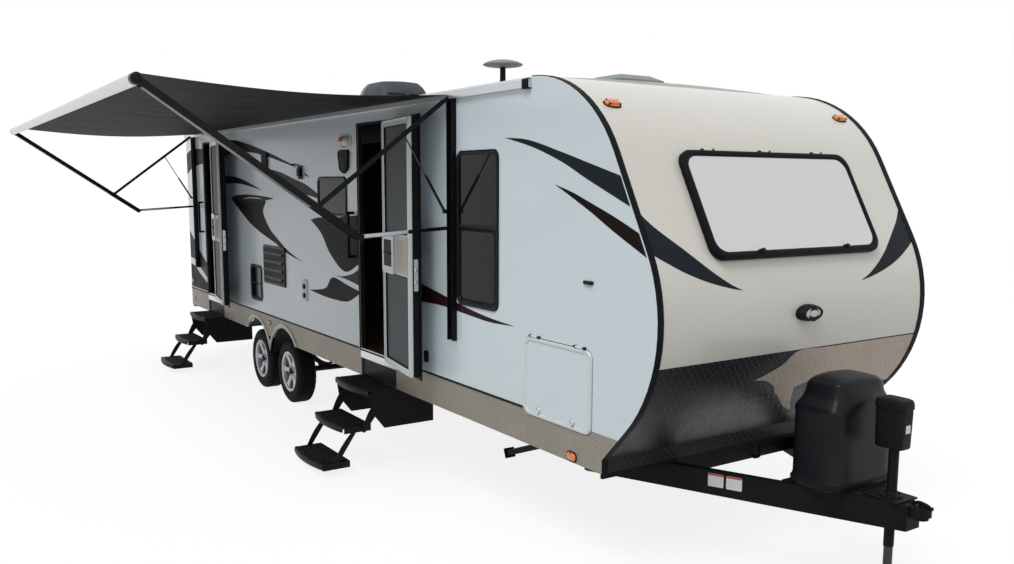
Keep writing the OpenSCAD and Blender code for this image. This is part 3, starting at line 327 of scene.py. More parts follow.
CHARCOAL = (0.012, 0.017, 0.022)
M = {
    "wall": paint("wall_gelcoat", (0.665, 0.745, 0.785), 0.30, coat=0.25, mottle=0.012, grain=(120.0, 0.0001),
                  dust=0.22, dust_top=1.4, dust_color=(0.42, 0.43, 0.41), skin=(1, SIDE - 0.003)),
    "door_skin": paint("door_gelcoat", (0.665, 0.745, 0.785), 0.30, coat=0.25, mottle=0.012, grain=(120.0, 0.0001)),
    "rear": paint("rear_gelcoat", (0.665, 0.745, 0.785), 0.30, coat=0.25, mottle=0.012, grain=(120.0, 0.0001),
                  dust=0.25, dust_top=1.6, dust_color=(0.42, 0.43, 0.41), skin=(0, -REAR - 0.003)),
    "cap": paint("cap_paint", (0.64, 0.62, 0.565), 0.32, coat=0.35, mottle=0.012, grain=(160.0, 0.0001)),
    "guard": paint("guard_gelcoat", (0.66, 0.665, 0.645), 0.32, coat=0.25, mottle=0.015, grain=(140.0, 0.0001)),
    "trim": paint("trim_vinyl", (0.006, 0.007, 0.009), 0.48, mottle=0.10, grain=(420.0, 0.0002), dust=0.04, spec=0.06),
    "black": paint("moulded_black", (0.006, 0.007, 0.008), 0.50, mottle=0.14, grain=(520.0, 0.0004), dust=0.02,
                   spec=0.10),
    "gloss": paint("gloss_black", (0.006, 0.007, 0.008), 0.26, mottle=0.10, grain=(90.0, 0.0001), spec=0.12),
    "chassis": paint("chassis_paint", (0.005, 0.0055, 0.006), 0.50, mottle=0.18, grain=(240.0, 0.0003), dust=0.03,
                     wear=0.03, spec=0.09),
    "step": paint("step_powder_coat", (0.005, 0.0055, 0.0065), 0.45, mottle=0.16, grain=(480.0, 0.0005), dust=0.02,
                  wear=0.05, spec=0.12),
    "grip": paint("grip_strip", (0.010, 0.010, 0.011), 0.80, mottle=0.20, grain=(900.0, 0.0012), dust=0.05,
                  dust_color=(0.16, 0.15, 0.14), spec=0.10),
    "sheen": paint("moulded_cover", (0.005, 0.006, 0.008), 0.34, mottle=0.14, grain=(520.0, 0.0004), spec=0.16),
    "skirt": plate("skirt_tread_plate", (0.285, 0.258, 0.218), 0.45, 0.45, True, pitch=0.030, raised_highlight=1.45, spec=0.4),
    "tan": plate("front_tan_plate", (0.40, 0.335, 0.275), 0.30, 0.45, False, pitch=0.036, raised_highlight=1.35, spec=0.4),
    "blackplate": plate("front_black_plate", (0.006, 0.007, 0.009), 0.35, 0.36, False, pitch=0.036, raised_highlight=4.0,
                        spec=0.25),
    "charcoal": paint("charcoal_vinyl", CHARCOAL, 0.40, mottle=0.05, grain=(300.0, 0.0001), spec=0.06),
    "brown": paint("brown_vinyl", (0.010, 0.007, 0.006), 0.42, mottle=0.10, grain=(300.0, 0.0001), spec=0.04),
    "maroon": paint("maroon_vinyl", (0.026, 0.007, 0.012), 0.40, mottle=0.10, grain=(300.0, 0.0001), spec=0.06),
    # silver vinyl, which also serves as the painted glint on the crescent
    "silver": paint("silver_vinyl_and_glint", (0.52, 0.56, 0.58), 0.34, coat=0.1, mottle=0.05, grain=(300.0, 0.0001)),
    "tan_trim": paint("arch_trim", (0.44, 0.42, 0.385), 0.30, coat=0.2, mottle=0.06, grain=(300.0, 0.0001)),
    "white": paint("white_enamel", (0.66, 0.69, 0.70), 0.34, coat=0.2, mottle=0.03, grain=(210.0, 0.0002)),
    "label": paint("blank_label", (0.70, 0.71, 0.70), 0.5, mottle=0.03, grain=(500.0, 0.0001)),
    "panel": paint("sliding_panel", (0.50, 0.47, 0.41), 0.42, mottle=0.04, grain=(500.0, 0.0001)),
    "red_label": paint("label_red_band", (0.45, 0.04, 0.03), 0.5, mottle=0.05, grain=(500.0, 0.0001)),
    "roof": paint("roof_membrane", (0.62, 0.63, 0.61), 0.72, mottle=0.05, grain=(60.0, 0.0012), wave=0.004, streak=2.5),
    "unit": paint("roof_unit_plastic", (0.19, 0.22, 0.23), 0.50, mottle=0.05, grain=(380.0, 0.0004)),
    "unit_dark": paint("roof_unit_dark", (0.060, 0.070, 0.082), 0.55, mottle=0.07, grain=(380.0, 0.0004), spec=0.2),
    "alloy": brushed("satin_alloy", (0.62, 0.64, 0.66)),
    "steel": brushed("bright_steel", (0.50, 0.51, 0.53), 0.30, stretch=(1.0, 1.0, 0.05)),
    "darksteel": brushed("dark_steel", (0.055, 0.056, 0.060), 0.42, stretch=(1.0, 1.0, 0.05)),
    "rim": paint("rim_silver", (0.46, 0.475, 0.50), 0.32, metal=0.6, coat=0.3, mottle=0.06, grain=(500.0, 0.0002),
                 dust=0.12, dust_top=0.6),
    "tyre": rubber("tyre_rubber", (0.007, 0.008, 0.009)),
    "cloth": cloth("awning_cloth", (0.019, 0.017, 0.014)),
    "glass": tinted_glass("tinted_glass", (0.005, 0.008, 0.010)),
    "screen": screen("insect_screen", (0.026, 0.034, 0.040)),
    "floor": timber("floor_boards", (0.10, 0.070, 0.045)),
    "amber": lens("amber_lens", (0.85, 0.20, 0.02)),
    "red": lens("red_lens", (0.60, 0.02, 0.015)),
    "clear": lens("clear_lens", (0.55, 0.57, 0.58)),
}


# ------------------------------------------------------------------ mesh building
class Shape:
    """Collects the faces of one piece, with a material slot for each face."""

    def __init__(self):
        self.verts, self.faces, self.slots, self.slot = [], [], [], 0

    def add(self, verts, faces):
        base = len(self.verts)
        self.verts += [tuple(v) for v in verts]
        self.faces += [[i + base for i in f] for f in faces]
        self.slots += [self.slot] * len(faces)
        return self

    def use(self, slot):
        self.slot = slot
        return self

    def box(self, lo, hi):
        v = [(x, y, z) for x in (lo[0], hi[0]) for y in (lo[1], hi[1]) for z in (lo[2], hi[2])]
        return self.add(v, [(0, 1, 3, 2), (4, 6, 7, 5), (0, 4, 5, 1), (2, 3, 7, 6), (0, 2, 6, 4), (1, 5, 7, 3)])

    def loops(self, rings, closed=True, caps=True, loop=False):
        """Skins rings of equal length. closed joins each ring's ends, loop joins the last ring to the first."""
        n, m = len(rings[0]), len(rings)
        faces = []
        for k in range(m if loop else m - 1):
            a, b = k * n, (k + 1) % m * n
            for i in range(n if closed else n - 1):
                j = (i + 1) % n
                faces.append((a + i, a + j, b + j, b + i))
        if caps and closed and not loop:
            faces.append(tuple(reversed(range(n))))
            faces.append(tuple(range((m - 1) * n, m * n)))
        return self.add([v for r in rings for v in r], faces)

    def prism(self, outline, place, depth):
        """An outline of (u, v) points given a thickness. place(u, v, w) gives the point."""
        return self.loops([[place(u, v, w) for u, v in outline] for w in (0.0, depth)])

    def tube(self, path, radius, n=10, loop=False, flat=1.0):
        """A round bar along a path. radius may be a list, one for each point."""
        path = [Vector(p) for p in path]
        count = len(path)
        radii = radius if isinstance(radius, (list, tuple)) else [radius] * count
        side, rings = None, []
        for i, p in enumerate(path):
            before = path[i - 1] if i or loop else p
            after = path[(i + 1) % count] if i < count - 1 or loop else p
            d = (after - before).normalized()
            if side is None:
                side = d.orthogonal().normalized()
            side = (side - d * side.dot(d)).normalized()
            up = d.cross(side)
            rings.append([p + (side * math.cos(a) + up * math.sin(a) * flat) * radii[i]
                          for a in (2 * math.pi * k / n for k in range(n))])
        return self.loops(rings, loop=loop)

    def lathe(self, profile, place, n=48, a0=0.0, a1=360.0):
        """Turns (radius, height) points about an axis. place(x, y, height) gives the point."""
        whole = abs(a1 - a0) >= 359.9
        steps = n if whole else n + 1
        rings = []
        for k in range(steps):
            a = math.radians(a0 + (a1 - a0) * k / n)
            rings.append([place(r * math.cos(a), r * math.sin(a), h) for r, h in profile])
        return self.loops(rings, closed=False, caps=False, loop=whole)

    def piece(self, name, mats, body="trailer", slot=None, smooth=38.0, bevel=0.0, doubles=1e-5):
        mesh = bpy.data.meshes.new(name)
        mesh.from_pydata(self.verts, [], self.faces)
        for key in ([mats] if isinstance(mats, str) else mats):
            mesh.materials.append(M[key])
        mesh.polygons.foreach_set("material_index", self.slots)
        made = bmesh.new()
        made.from_mesh(mesh)
        bmesh.ops.remove_doubles(made, verts=made.verts, dist=doubles)
        bmesh.ops.recalc_face_normals(made, faces=made.faces)
        made.to_mesh(mesh)
        made.free()
        mesh.polygons.foreach_set("use_smooth", [True] * len(mesh.polygons))
        mesh.set_sharp_from_angle(angle=math.radians(smooth))
        obj = bpy.data.objects.new(name, mesh)
        scene.collection.objects.link(obj)
        if bevel:
            mod = obj.modifiers.new("edges", "BEVEL")
            mod.width, mod.segments, mod.limit_method = bevel, 2, "ANGLE"
            mod.angle_limit = math.radians(40)
        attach(obj, body)
        return obj


def curve(points, steps=8, closed=False):
    """Points on a smooth curve through the given 2-D or 3-D points."""
    pts = [Vector(p) for p in points]
    n = len(pts)
    out = []
    for i in range(n if closed else n - 1):
        a, b, c, d = (pts[j % n] if closed else pts[min(max(j, 0), n - 1)] for j in (i - 1, i, i + 1, i + 2))
        for k in range(steps):
            t = k / steps
            out.append(0.5 * (2 * b + (c - a) * t + (2 * a - 5 * b + 4 * c - d) * t * t + (3 * b - 3 * c + d - a) * t ** 3))
    return out if closed else out + [pts[-1]]


def round_rect(x0, z0, x1, z1, r, n=6):
    pts = []
    for cx, cz, a in ((x1 - r, z1 - r, 0), (x0 + r, z1 - r, 90), (x0 + r, z0 + r, 180), (x1 - r, z0 + r, 270)):
        pts += [(cx + r * math.cos(math.radians(a + 90 * k / n)), cz + r * math.sin(math.radians(a + 90 * k / n)))
                for k in range(n + 1)]
    return pts


def side_place(s):
    """Places (x, z, height off the wall) on the right wall for s = -1 and on the left for s = 1."""
    return lambda u, v, w: (u, s * (SIDE + w), v)


def ribbon(name, upper, lower, place, mat, steps=10, columns=1, **where):
    """A thin sheet between an upper and a lower curve, with the same number of points on each."""
    a, b = curve(upper, steps), curve(lower, steps)
    rings = [[place(*p.lerp(q, k / columns)) for k in range(columns + 1)] for p, q in zip(a, b)]
    return Shape().loops(rings, closed=False).piece(name, mat, **where)


DECAL = 0.0012


def side_ribbon(name, upper, lower, mat, s=-1, lift=DECAL):
    return ribbon(name, upper, lower, lambda u, v: (u, s * (SIDE + lift), v), mat, slot="wall_skin", smooth=60)


def front_ribbon(name, upper, lower, mat, lift=0.0016, columns=12, slot="cap_skin"):
    return ribbon(name, upper, lower, lambda y, z: front_point(y, z, lift), mat, steps=14, columns=columns, slot=slot,
                  smooth=60)


# ------------------------------------------------------------------ finishes of the CAD parts
def finish_node(node, mat):
    """Gives a CAD part its material and smooths the small steps of its curved faces."""
    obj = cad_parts[node]
    for slot in obj.material_slots:
        slot.material = M[mat]
    obj.data.polygons.foreach_set("use_smooth", [True] * len(obj.data.polygons))
    weld = obj.modifiers.new("weld", "WELD")
    weld.merge_threshold = 0.00002
    split = obj.modifiers.new("split", "EDGE_SPLIT")
    split.split_angle = math.radians(32)


FINISH = {
    "chassis_frame": "chassis", "a_frame": "chassis", "coupler": "chassis", "axles": "chassis", "floor": "floor",
    "right_wall": "wall", "left_wall": "wall", "rear_wall": "rear", "front_cap": "cap", "rock_guard": "guard",
    "lower_front_panel": "blackplate", "roof": "roof", "skirts": "skirt", "body_trims": "trim",
    "window_frames": "gloss", "window_glass": "glass", "baggage_door_right": "wall", "baggage_door_left": "wall",
    "door_trims": "trim", "front_door": "black", "rear_door": "black", "front_door_screen": "white",
    "rear_door_screen": "white", "wall_fittings": "black", "roof_vent_lid": "unit", "roof_units": "unit",
    "awning_rail": "alloy", "awning_channels": "gloss", "awning_upper_arms": "gloss", "awning_outer_arms": "gloss",
    "awning_roller": "alloy", "awning_lower_arms": "gloss", "awning_strut_tubes": "gloss",
    "awning_strut_rods": "darksteel", "gas_cover": "black", "jack_body": "black", "jack_leg": "darksteel",
}
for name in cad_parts:
    if name in FINISH:
        finish_node(name, FINISH[name])
    elif name.startswith("stabiliser"):
        finish_node(name, "chassis")
    elif "_step_" in name:
        finish_node(name, "step")

# ------------------------------------------------------------------ graphics on the side wall
wall_front = lambda z: front_point(0, z).x - 0.010
SIDE_GRAPHICS = {
    "stripe_front_upper": ("charcoal",
        [(-2.120, 2.655), (-1.850, 2.632), (-1.500, 2.548), (-1.250, 2.482), (wall_front(2.40), 2.405)],
        [(-2.120, 2.655), (-1.800, 2.585), (-1.500, 2.490), (-1.250, 2.385), (wall_front(2.235), 2.235)]),
    "stripe_front_lower": ("brown",
        [(-1.570, 2.356), (-1.400, 2.312), (-1.200, 2.245), (-1.000, 2.175), (wall_front(2.095), 2.095)],
        [(-1.570, 2.356), (-1.400, 2.282), (-1.200, 2.190), (-1.000, 2.090), (wall_front(1.965), 1.965)]),
    "sweep_long": ("maroon",
        [(-3.700, 1.660), (-3.300, 1.590), (-2.950, 1.535), (-2.600, 1.478), (-2.300, 1.443), (-1.990, 1.424)],
        [(-3.700, 1.430), (-3.300, 1.448), (-2.950, 1.452), (-2.600, 1.430), (-2.300, 1.414), (-1.990, 1.424)]),
    "sweep_right": ("brown",
        [(-5.560, 2.000), (-5.350, 2.030), (-5.000, 2.040), (-4.700, 2.060), (-4.460, 2.080)],
        [(-5.560, 2.000), (-5.300, 1.885), (-5.085, 1.700), (-4.760, 1.560), (-4.460, 1.645)]),
    "sweep_wedge": ("charcoal",
        [(-4.960, 1.506), (-4.820, 1.512), (-4.700, 1.530), (-4.580, 1.556), (-4.460, 1.602)],
        [(-4.960, 1.506), (-4.820, 1.498), (-4.700, 1.490), (-4.580, 1.478), (-4.460, 1.462)]),
    "sweep_bottom": ("brown",
        [(-5.640, 1.310), (-5.400, 1.334), (-5.200, 1.374), (-5.040, 1.482), (-4.700, 1.442), (-4.460, 1.412)],
        [(-5.640, 1.310), (-5.400, 1.290), (-5.200, 1.280), (-5.000, 1.278), (-4.700, 1.292), (-4.460, 1.380)]),
    "crescent": ("brown",
        [(-8.100, 2.168), (-7.700, 2.176), (-7.300, 2.180), (-6.870, 2.165), (-6.955, 2.040), (-6.760, 1.868),
         (-6.500, 1.760), (-6.200, 1.655), (-5.770, 1.565)],
        [(-8.100, 2.168), (-7.900, 2.085), (-7.600, 1.965), (-7.400, 1.895), (-7.200, 1.840), (-6.950, 1.785),
         (-6.600, 1.718), (-6.250, 1.632), (-5.770, 1.565)]),
    "crescent_cap": ("charcoal",
        [(-8.110, 2.172), (-7.900, 2.206), (-7.600, 2.221), (-7.200, 2.219), (-6.850, 2.206), (-6.580, 2.190)],
        [(-8.110, 2.172), (-7.900, 2.150), (-7.600, 2.120), (-7.200, 2.150), (-6.850, 2.168), (-6.580, 2.190)]),
    # painted highlight: a thin pale glint laid over the crescent's dark cap
    "crescent_glint": ("silver",
        [(-7.640, 2.172), (-7.400, 2.194), (-7.150, 2.192), (-6.950, 2.182)],
        [(-7.640, 2.168), (-7.400, 2.180), (-7.150, 2.180), (-6.950, 2.180)]),
    "line_mid": ("charcoal",
        [(-8.520, 2.440), (-8.100, 2.434), (-7.700, 2.402), (-7.350, 2.345), (-6.960, 2.276)],
        [(-8.520, 2.345), (-8.100, 2.350), (-7.700, 2.342), (-7.350, 2.312), (-6.960, 2.276)]),
    "line_top": ("charcoal",
        [(-8.520, 2.880), (-7.900, 2.850), (-7.300, 2.775), (-6.700, 2.674), (-6.300, 2.597), (-5.880, 2.512)],
        [(-8.520, 2.660), (-7.900, 2.712), (-7.300, 2.694), (-6.700, 2.628), (-6.300, 2.568), (-5.880, 2.505)]),
    "line_tip": ("charcoal",
        [(-5.690, 2.452), (-5.620, 2.436), (-5.550, 2.404)], [(-5.690, 2.436), (-5.620, 2.422), (-5.550, 2.404)]),
    "line_low": ("charcoal",
        [(-6.900, 2.520), (-6.400, 2.470), (-6.000, 2.400), (-5.650, 2.338), (-5.352, 2.252)],
        [(-6.900, 2.440), (-6.400, 2.330), (-6.000, 2.240), (-5.650, 2.240), (-5.352, 2.210)]),
    "rear_band": ("maroon",
        [(REAR + 0.01, 2.745), (-9.850, 2.790), (-9.600, 2.800), (-9.265, 2.792)],
        [(REAR + 0.01, 2.470), (-9.850, 2.540), (-9.600, 2.575), (-9.265, 2.602)]),
    "rear_wedge": ("charcoal",
        [(REAR + 0.01, 1.700), (-9.850, 1.580), (-9.600, 1.450), (-9.265, 1.300)],
        [(REAR + 0.01, 1.330), (-9.850, 1.310), (-9.600, 1.220), (-9.265, 1.105)]),
    "rear_foot": ("brown",
        [(REAR + 0.01, 1.240), (-9.850, 1.215), (-9.600, 1.130), (-9.265, 1.030)],
        [(REAR + 0.01, 0.925), (-9.850, 0.925), (-9.600, 0.925), (-9.265, 0.925)]),
}
for name, (mat, upper, lower) in SIDE_GRAPHICS.items():
    lift = {"crescent_cap": 2.0, "crescent_glint": 3.0}.get(name, 1.0) * DECAL
    side_ribbon("graphic_" + name, upper, lower, mat, lift=lift)
for name in ("stripe_front_upper", "stripe_front_lower", "sweep_long"):
    mat, upper, lower = SIDE_GRAPHICS[name]
    side_ribbon("graphic_left_" + name, upper, lower, mat, s=1)

# ------------------------------------------------------------------ graphics on the front
for s, label in ((-1, "right"), (1, "left")):
    front_ribbon(f"graphic_cap_sweep_{label}",
                 [(s * 1.172, 2.190), (s * 1.100, 2.118), (s * 0.960, 2.012), (s * 0.800, 1.892), (s * 0.650, 1.800), (s * 0.545, 1.756)],
                 [(s * 1.172, 1.975), (s * 1.100, 1.935), (s * 0.960, 1.868), (s * 0.800, 1.812), (s * 0.650, 1.774), (s * 0.545, 1.756)],
                 "charcoal")
front_ribbon("front_tan_plate",
             [(-0.345, 1.192), (-0.240, 1.228), (-0.130, 1.275), (-0.020, 1.352), (0.250, 1.352), (0.700, 1.352), (1.170, 1.352)],
             [(-0.345, 1.192), (-0.240, 1.178), (-0.130, 1.130), (-0.020, 1.052), (0.250, 1.120), (0.700, 1.085), (1.170, 1.000)],
             "tan", slot="skirt_skin", lift=0.0026)
front_ribbon("front_tan_tail",
             [(-0.060, 1.120), (0.060, 1.130), (0.140, 1.020), (0.210, 0.945), (0.292, 0.880)],
             [(-0.060, 1.070), (0.000, 1.030), (0.100, 0.965), (0.190, 0.915), (0.292, 0.880)],
             "tan", slot="skirt_skin", lift=0.0022)

# ------------------------------------------------------------------ placing helpers
def slope_place(u, v, n):
    """A point on the cap's flat slope: u to the left, v up the slope and n off it."""
    return (SLOPE_X - v * math.sin(CAP_A) + n * math.cos(CAP_A), u, SLOPE_Z + v * math.cos(CAP_A) + n * math.sin(CAP_A))


def bead(shape, outline, place, sections):
    """A moulding round an outline. sections: (inset, height) pairs across the moulding."""
    cx = sum(p[0] for p in outline) / len(outline)
    cz = sum(p[1] for p in outline) / len(outline)
    hw = max(p[0] for p in outline) - cx
    hh = max(p[1] for p in outline) - cz
    rings = [[place(cx + (u - cx) * (1 - inset / hw), cz + (v - cz) * (1 - inset / hh), h) for u, v in outline]
             for inset, h in sections]
    return shape.loops(rings, caps=False)


def dome(shape, place, half_w, half_h, depth, power=2.6, n=28, rings=6, skirt=0.35):
    """A lamp lens or button: a rounded outline that rises to a shallow dome."""
    layers = []
    for k in range(rings + 1):
        a = k / rings * math.pi / 2
        scale, h = (1.0, depth * skirt * k) if k == 0 else (math.cos(a) ** 0.7, depth * (skirt + (1 - skirt) * math.sin(a)))
        scale = max(scale, 0.02)
        layers.append([(half_w * scale * math.copysign(abs(math.cos(t)) ** (2 / power), math.cos(t)),
                        half_h * scale * math.copysign(abs(math.sin(t)) ** (2 / power), math.sin(t)), h)
                       for t in (2 * math.pi * i / n for i in range(n))])
    layers.insert(1, [(u, v, depth * skirt) for u, v, _ in layers[0]])
    return shape.loops([[place(u, v, h) for u, v, h in ring] for ring in layers])


def at(place, u0, v0):
    return lambda u, v, w: place(u0 + u, v0 + v, w)


right = side_place(-1)
left = side_place(1)
rear_place = lambda u, v, w: (REAR - w, u, v)

# ------------------------------------------------------------------ rock guard over the front window: its rubber rim and latches
GUARD_HALF, GUARD_LOW, GUARD_HIGH, GUARD_N = 0.760, -0.090, 0.605, 0.036
outline = round_rect(-GUARD_HALF - 0.003, GUARD_LOW - 0.003, GUARD_HALF + 0.003, GUARD_HIGH + 0.003, 0.093, 10)
bead(Shape(), outline, slope_place, [(0.0, 0.008), (0.0, 0.034), (0.005, 0.043), (0.014, 0.047), (0.030, 0.046),
                                     (0.038, 0.042), (0.042, 0.0365)]).piece("guard_rubber_rim", "trim", "guard", "black_trim")
latches = Shape()
for y in (-0.370, 0.410):
    latches.prism(round_rect(y - 0.030, -0.070, y + 0.030, -0.046, 0.010), slope_place, 0.050)
    latches.lathe([(0.0, 0.062), (0.012, 0.061), (0.015, 0.056), (0.015, 0.046)],
                  lambda u, v, w, y=y: slope_place(y + u, -0.058 + v, w), 20)
latches.piece("guard_latches", "gloss", "guard", "black_trim", bevel=0.001)

# ------------------------------------------------------------------ windows
windows = Shape()
WINDOWS = {"tall": (-2.732, 1.495, 0.542, 1.090), "dark": (-5.347, 2.056, 0.671, 0.358),
           "small": (-7.438, 1.029, 0.380, 0.406), "wide": (-6.500, 1.500, 1.100, 0.800)}
FRAME_BEAD = [(0.0, 0.0), (0.0005, 0.008), (0.004, 0.0115), (0.012, 0.013), (0.020, 0.0115), (0.026, 0.0075), (0.029, 0.0)]


def window_bead(shape, key, place):
    x, z, w, h = WINDOWS[key]
    bead(shape, round_rect(x - 0.002, z - 0.002, x + w + 0.002, z + h + 0.002, 0.062, 8), place, FRAME_BEAD)


for key in ("tall", "dark", "small"):
    window_bead(windows, key, right)
for key in ("tall", "wide"):
    window_bead(windows, key, left)
windows.piece("window_beads", "gloss", slot="black_trim")
sashes = Shape()
for place in (right, left):
    x, z, w, h = WINDOWS["tall"]
    bead(sashes, round_rect(x + 0.034, z + 0.034, x + w - 0.034, z + 0.545, 0.035, 6), place,
         [(0.0, 0.002), (0.0, 0.0065), (0.014, 0.0065), (0.014, 0.002)])
    sashes.box(place(x + w * 0.38, z + 0.028, 0.002), place(x + w * 0.62, z + 0.036, 0.010))
x, z, w, h = WINDOWS["small"]
bead(sashes, round_rect(x + 0.032, z + 0.032, x + w - 0.032, z + h * 0.50, 0.020, 6), right,
     [(0.0, 0.002), (0.0, 0.006), (0.010, 0.006), (0.010, 0.002)])
x, z, w, h = WINDOWS["wide"]
for half in (0, 1):
    bead(sashes, round_rect(x + 0.034 + half * (w / 2 - 0.02), z + 0.034, x + w / 2 + 0.008 + half * (w / 2 - 0.042),
                            z + h - 0.034, 0.035, 6), left, [(0.0, 0.002), (0.0, 0.0065), (0.014, 0.0065), (0.014, 0.002)])
sashes.piece("window_sashes", "trim", slot="black_trim", bevel=0.0008)

# ------------------------------------------------------------------ doors
DOORS = {"front": -3.740, "rear": -8.555}
DOOR_W, DOOR_TOP, HINGE = 0.690, 2.848, (0.012, -0.021)
BAR_LOW, BAR_HIGH = 1.660, 1.970        # the screen door's middle panel
OPEN = math.radians(170.7)

# stripes that run across the shut doors and meet those on the wall
DOOR_GRAPHICS = {
    "front": {
        "sweep": ("brown",
            [(-4.420, 2.082), (-4.250, 2.062), (-4.050, 1.975), (-3.860, 1.845)],
            [(-4.420, 1.662), (-4.250, 1.745), (-4.050, 1.808), (-3.860, 1.845)]),
        "wedge": ("charcoal",
            [(-4.420, 1.612), (-4.300, 1.640), (-4.150, 1.668), (-4.000, 1.684)],
            [(-4.420, 1.484), (-4.300, 1.580), (-4.150, 1.640), (-4.000, 1.684)]),
        "stripe": ("maroon",
            [(-4.400, 1.440), (-4.200, 1.560), (-4.000, 1.640), (-3.775, 1.672)],
            [(-4.400, 1.440), (-4.200, 1.428), (-4.000, 1.424), (-3.775, 1.426)]),
    },
    "rear": {
        "band": ("maroon",
            [(-9.235, 2.790), (-9.050, 2.782), (-8.850, 2.765), (-8.650, 2.740)],
            [(-9.235, 2.606), (-9.050, 2.640), (-8.850, 2.688), (-8.650, 2.740)]),
        "line": ("charcoal",
            [(-9.160, 2.420), (-9.000, 2.438), (-8.800, 2.446), (-8.590, 2.444)],
            [(-9.160, 2.420), (-9.000, 2.380), (-8.800, 2.352), (-8.590, 2.342)]),
        "wedge": ("charcoal",
            [(-9.235, 1.288), (-9.050, 1.200), (-8.850, 1.100), (-8.650, 1.000)],
            [(-9.235, 1.095), (-9.050, 1.040), (-8.850, 1.005), (-8.650, 1.000)]),
    },
}


def door_place(x):
    """Places (x, y off the wall's outer face, z) of a shut door on the door as it stands open."""
    hx, hy = x + HINGE[0], -SIDE + HINGE[1]

    def place(u, z, y):
        dx, dy = u - hx, -SIDE + y - hy
        return (hx + dx * math.cos(OPEN) - dy * math.sin(OPEN), hy + dx * math.sin(OPEN) + dy * math.cos(OPEN), z)
    return place


def door_details(tag, x):
    body, place = f"{tag}_door_leaf", door_place(x)
    x0, x1 = x - DOOR_W + 0.012, x - 0.005
    back, face = 0.050, 0.066
    mesh = Shape()
    beads = Shape()
    for low, high in ((FLOOR + 0.056, BAR_LOW), (BAR_HIGH, DOOR_TOP - 0.055)):
        mesh.prism(round_rect(x0 + 0.052, low + 0.002, x1 - 0.052, high - 0.002, 0.004, 2),
                   lambda u, v, w: place(u, v, back + 0.004 + w), 0.001)
        bead(beads, round_rect(x0 + 0.051, low + 0.001, x1 - 0.051, high - 0.001, 0.012, 5),
             lambda u, v, w: place(u, v, back + w), [(0.0, 0.004), (0.0, 0.0155), (0.004, 0.0165), (0.008, 0.014), (0.009, 0.004)])
    mesh.piece(f"{tag}_insect_screen", "screen", body, "white_metal")
    beads.piece(f"{tag}_screen_spline", "trim", body, "black_trim")
    # rounded lip round the screen's frame
    lip = Shape()
    bead(lip, round_rect(x0 - 0.001, FLOOR + 0.005, x1 + 0.001, DOOR_TOP - 0.004, 0.040, 8), lambda u, v, w: place(u, v, face + w),
         [(0.0, -0.020), (0.0, 0.001), (0.003, 0.005), (0.010, 0.006), (0.016, 0.004), (0.018, 0.0005)])
    lip.piece(f"{tag}_screen_lip", "white", body, "white_metal")
    # sliding panel, latch box and handle on the middle rail
    on = lambda lift: lambda u, v, w: place(u, v, face + lift + w)
    mid = Shape()
    mid.prism(round_rect(x0 + 0.048, BAR_LOW + 0.010, x0 + 0.345, BAR_HIGH - 0.010, 0.012), on(0), 0.006)
    for k in range(6):
        u = x0 + 0.078 + k * 0.042
        mid.prism(round_rect(u, BAR_LOW + 0.040, u + 0.010, BAR_HIGH - 0.040, 0.004, 3), on(0.006), 0.003)
    mid.piece(f"{tag}_slide_panel", "panel", body, "white_metal", bevel=0.0015)
    box = Shape()
    box.prism(round_rect(x0 + 0.365, BAR_LOW - 0.006, x1 - 0.018, BAR_HIGH + 0.006, 0.020), on(0), 0.016)
    box.use(1).prism(round_rect(x0 + 0.410, BAR_LOW + 0.050, x1 - 0.070, BAR_HIGH - 0.050, 0.012), on(0.014), 0.004)
    box.use(1).prism(round_rect(x0 + 0.425, 1.806, x1 - 0.085, 1.822, 0.006), on(0.018), 0.010)
    box.piece(f"{tag}_screen_latch", ["white", "black"], body, "white_metal", bevel=0.002)
    # latch plate and lock cylinders on the free edge of the main door
    edge = Shape()
    u_edge = x - DOOR_W + 0.012
    edge.loops([[place(u_edge - d, z, y) for y, z in round_rect(0.002, 1.56, 0.034, 1.80, 0.010)] for d in (-0.001, 0.003)])
    for z in (1.63, 1.72):
        edge.loops([[place(u_edge - d, z + r * math.sin(t), 0.018 + r * math.cos(t)) for t in (2 * math.pi * k / 16 for k in range(16))]
                    for d, r in ((0.002, 0.012), (0.006, 0.012), (0.008, 0.008))])
    edge.piece(f"{tag}_lock_plate", "steel", body, "bright_steel")
    # outer face, which faces the wall while the door stands open
    skin = Shape()
    skin.prism(round_rect(x - DOOR_W + 0.008, FLOOR + 0.008, x - 0.030, DOOR_TOP - 0.008, 0.030),
               lambda u, v, w: place(u, v, -0.0155 - w), 0.0020)
    skin.piece(f"{tag}_door_skin", "door_skin", body, "wall_skin")
    for key, (mat, upper, lower) in DOOR_GRAPHICS[tag].items():
        ribbon(f"graphic_{tag}_door_{key}", upper, lower, lambda u, v: place(u, v, -0.0175 - DECAL), mat,
               body=body, slot="wall_skin", smooth=60)
    knob = Shape()
    knob.prism(round_rect(x - DOOR_W + 0.040, 1.640, x - DOOR_W + 0.130, 1.780, 0.014), lambda u, v, w: place(u, v, -0.0158 - w), 0.010)
    knob.tube([place(x - DOOR_W + 0.060 + 0.055 * t, 1.70, -0.026 - 0.018 * math.sin(math.pi * t)) for t in (k / 8 for k in range(9))], 0.007)
    knob.piece(f"{tag}_door_handle", "gloss", body, "black_paint", bevel=0.001)


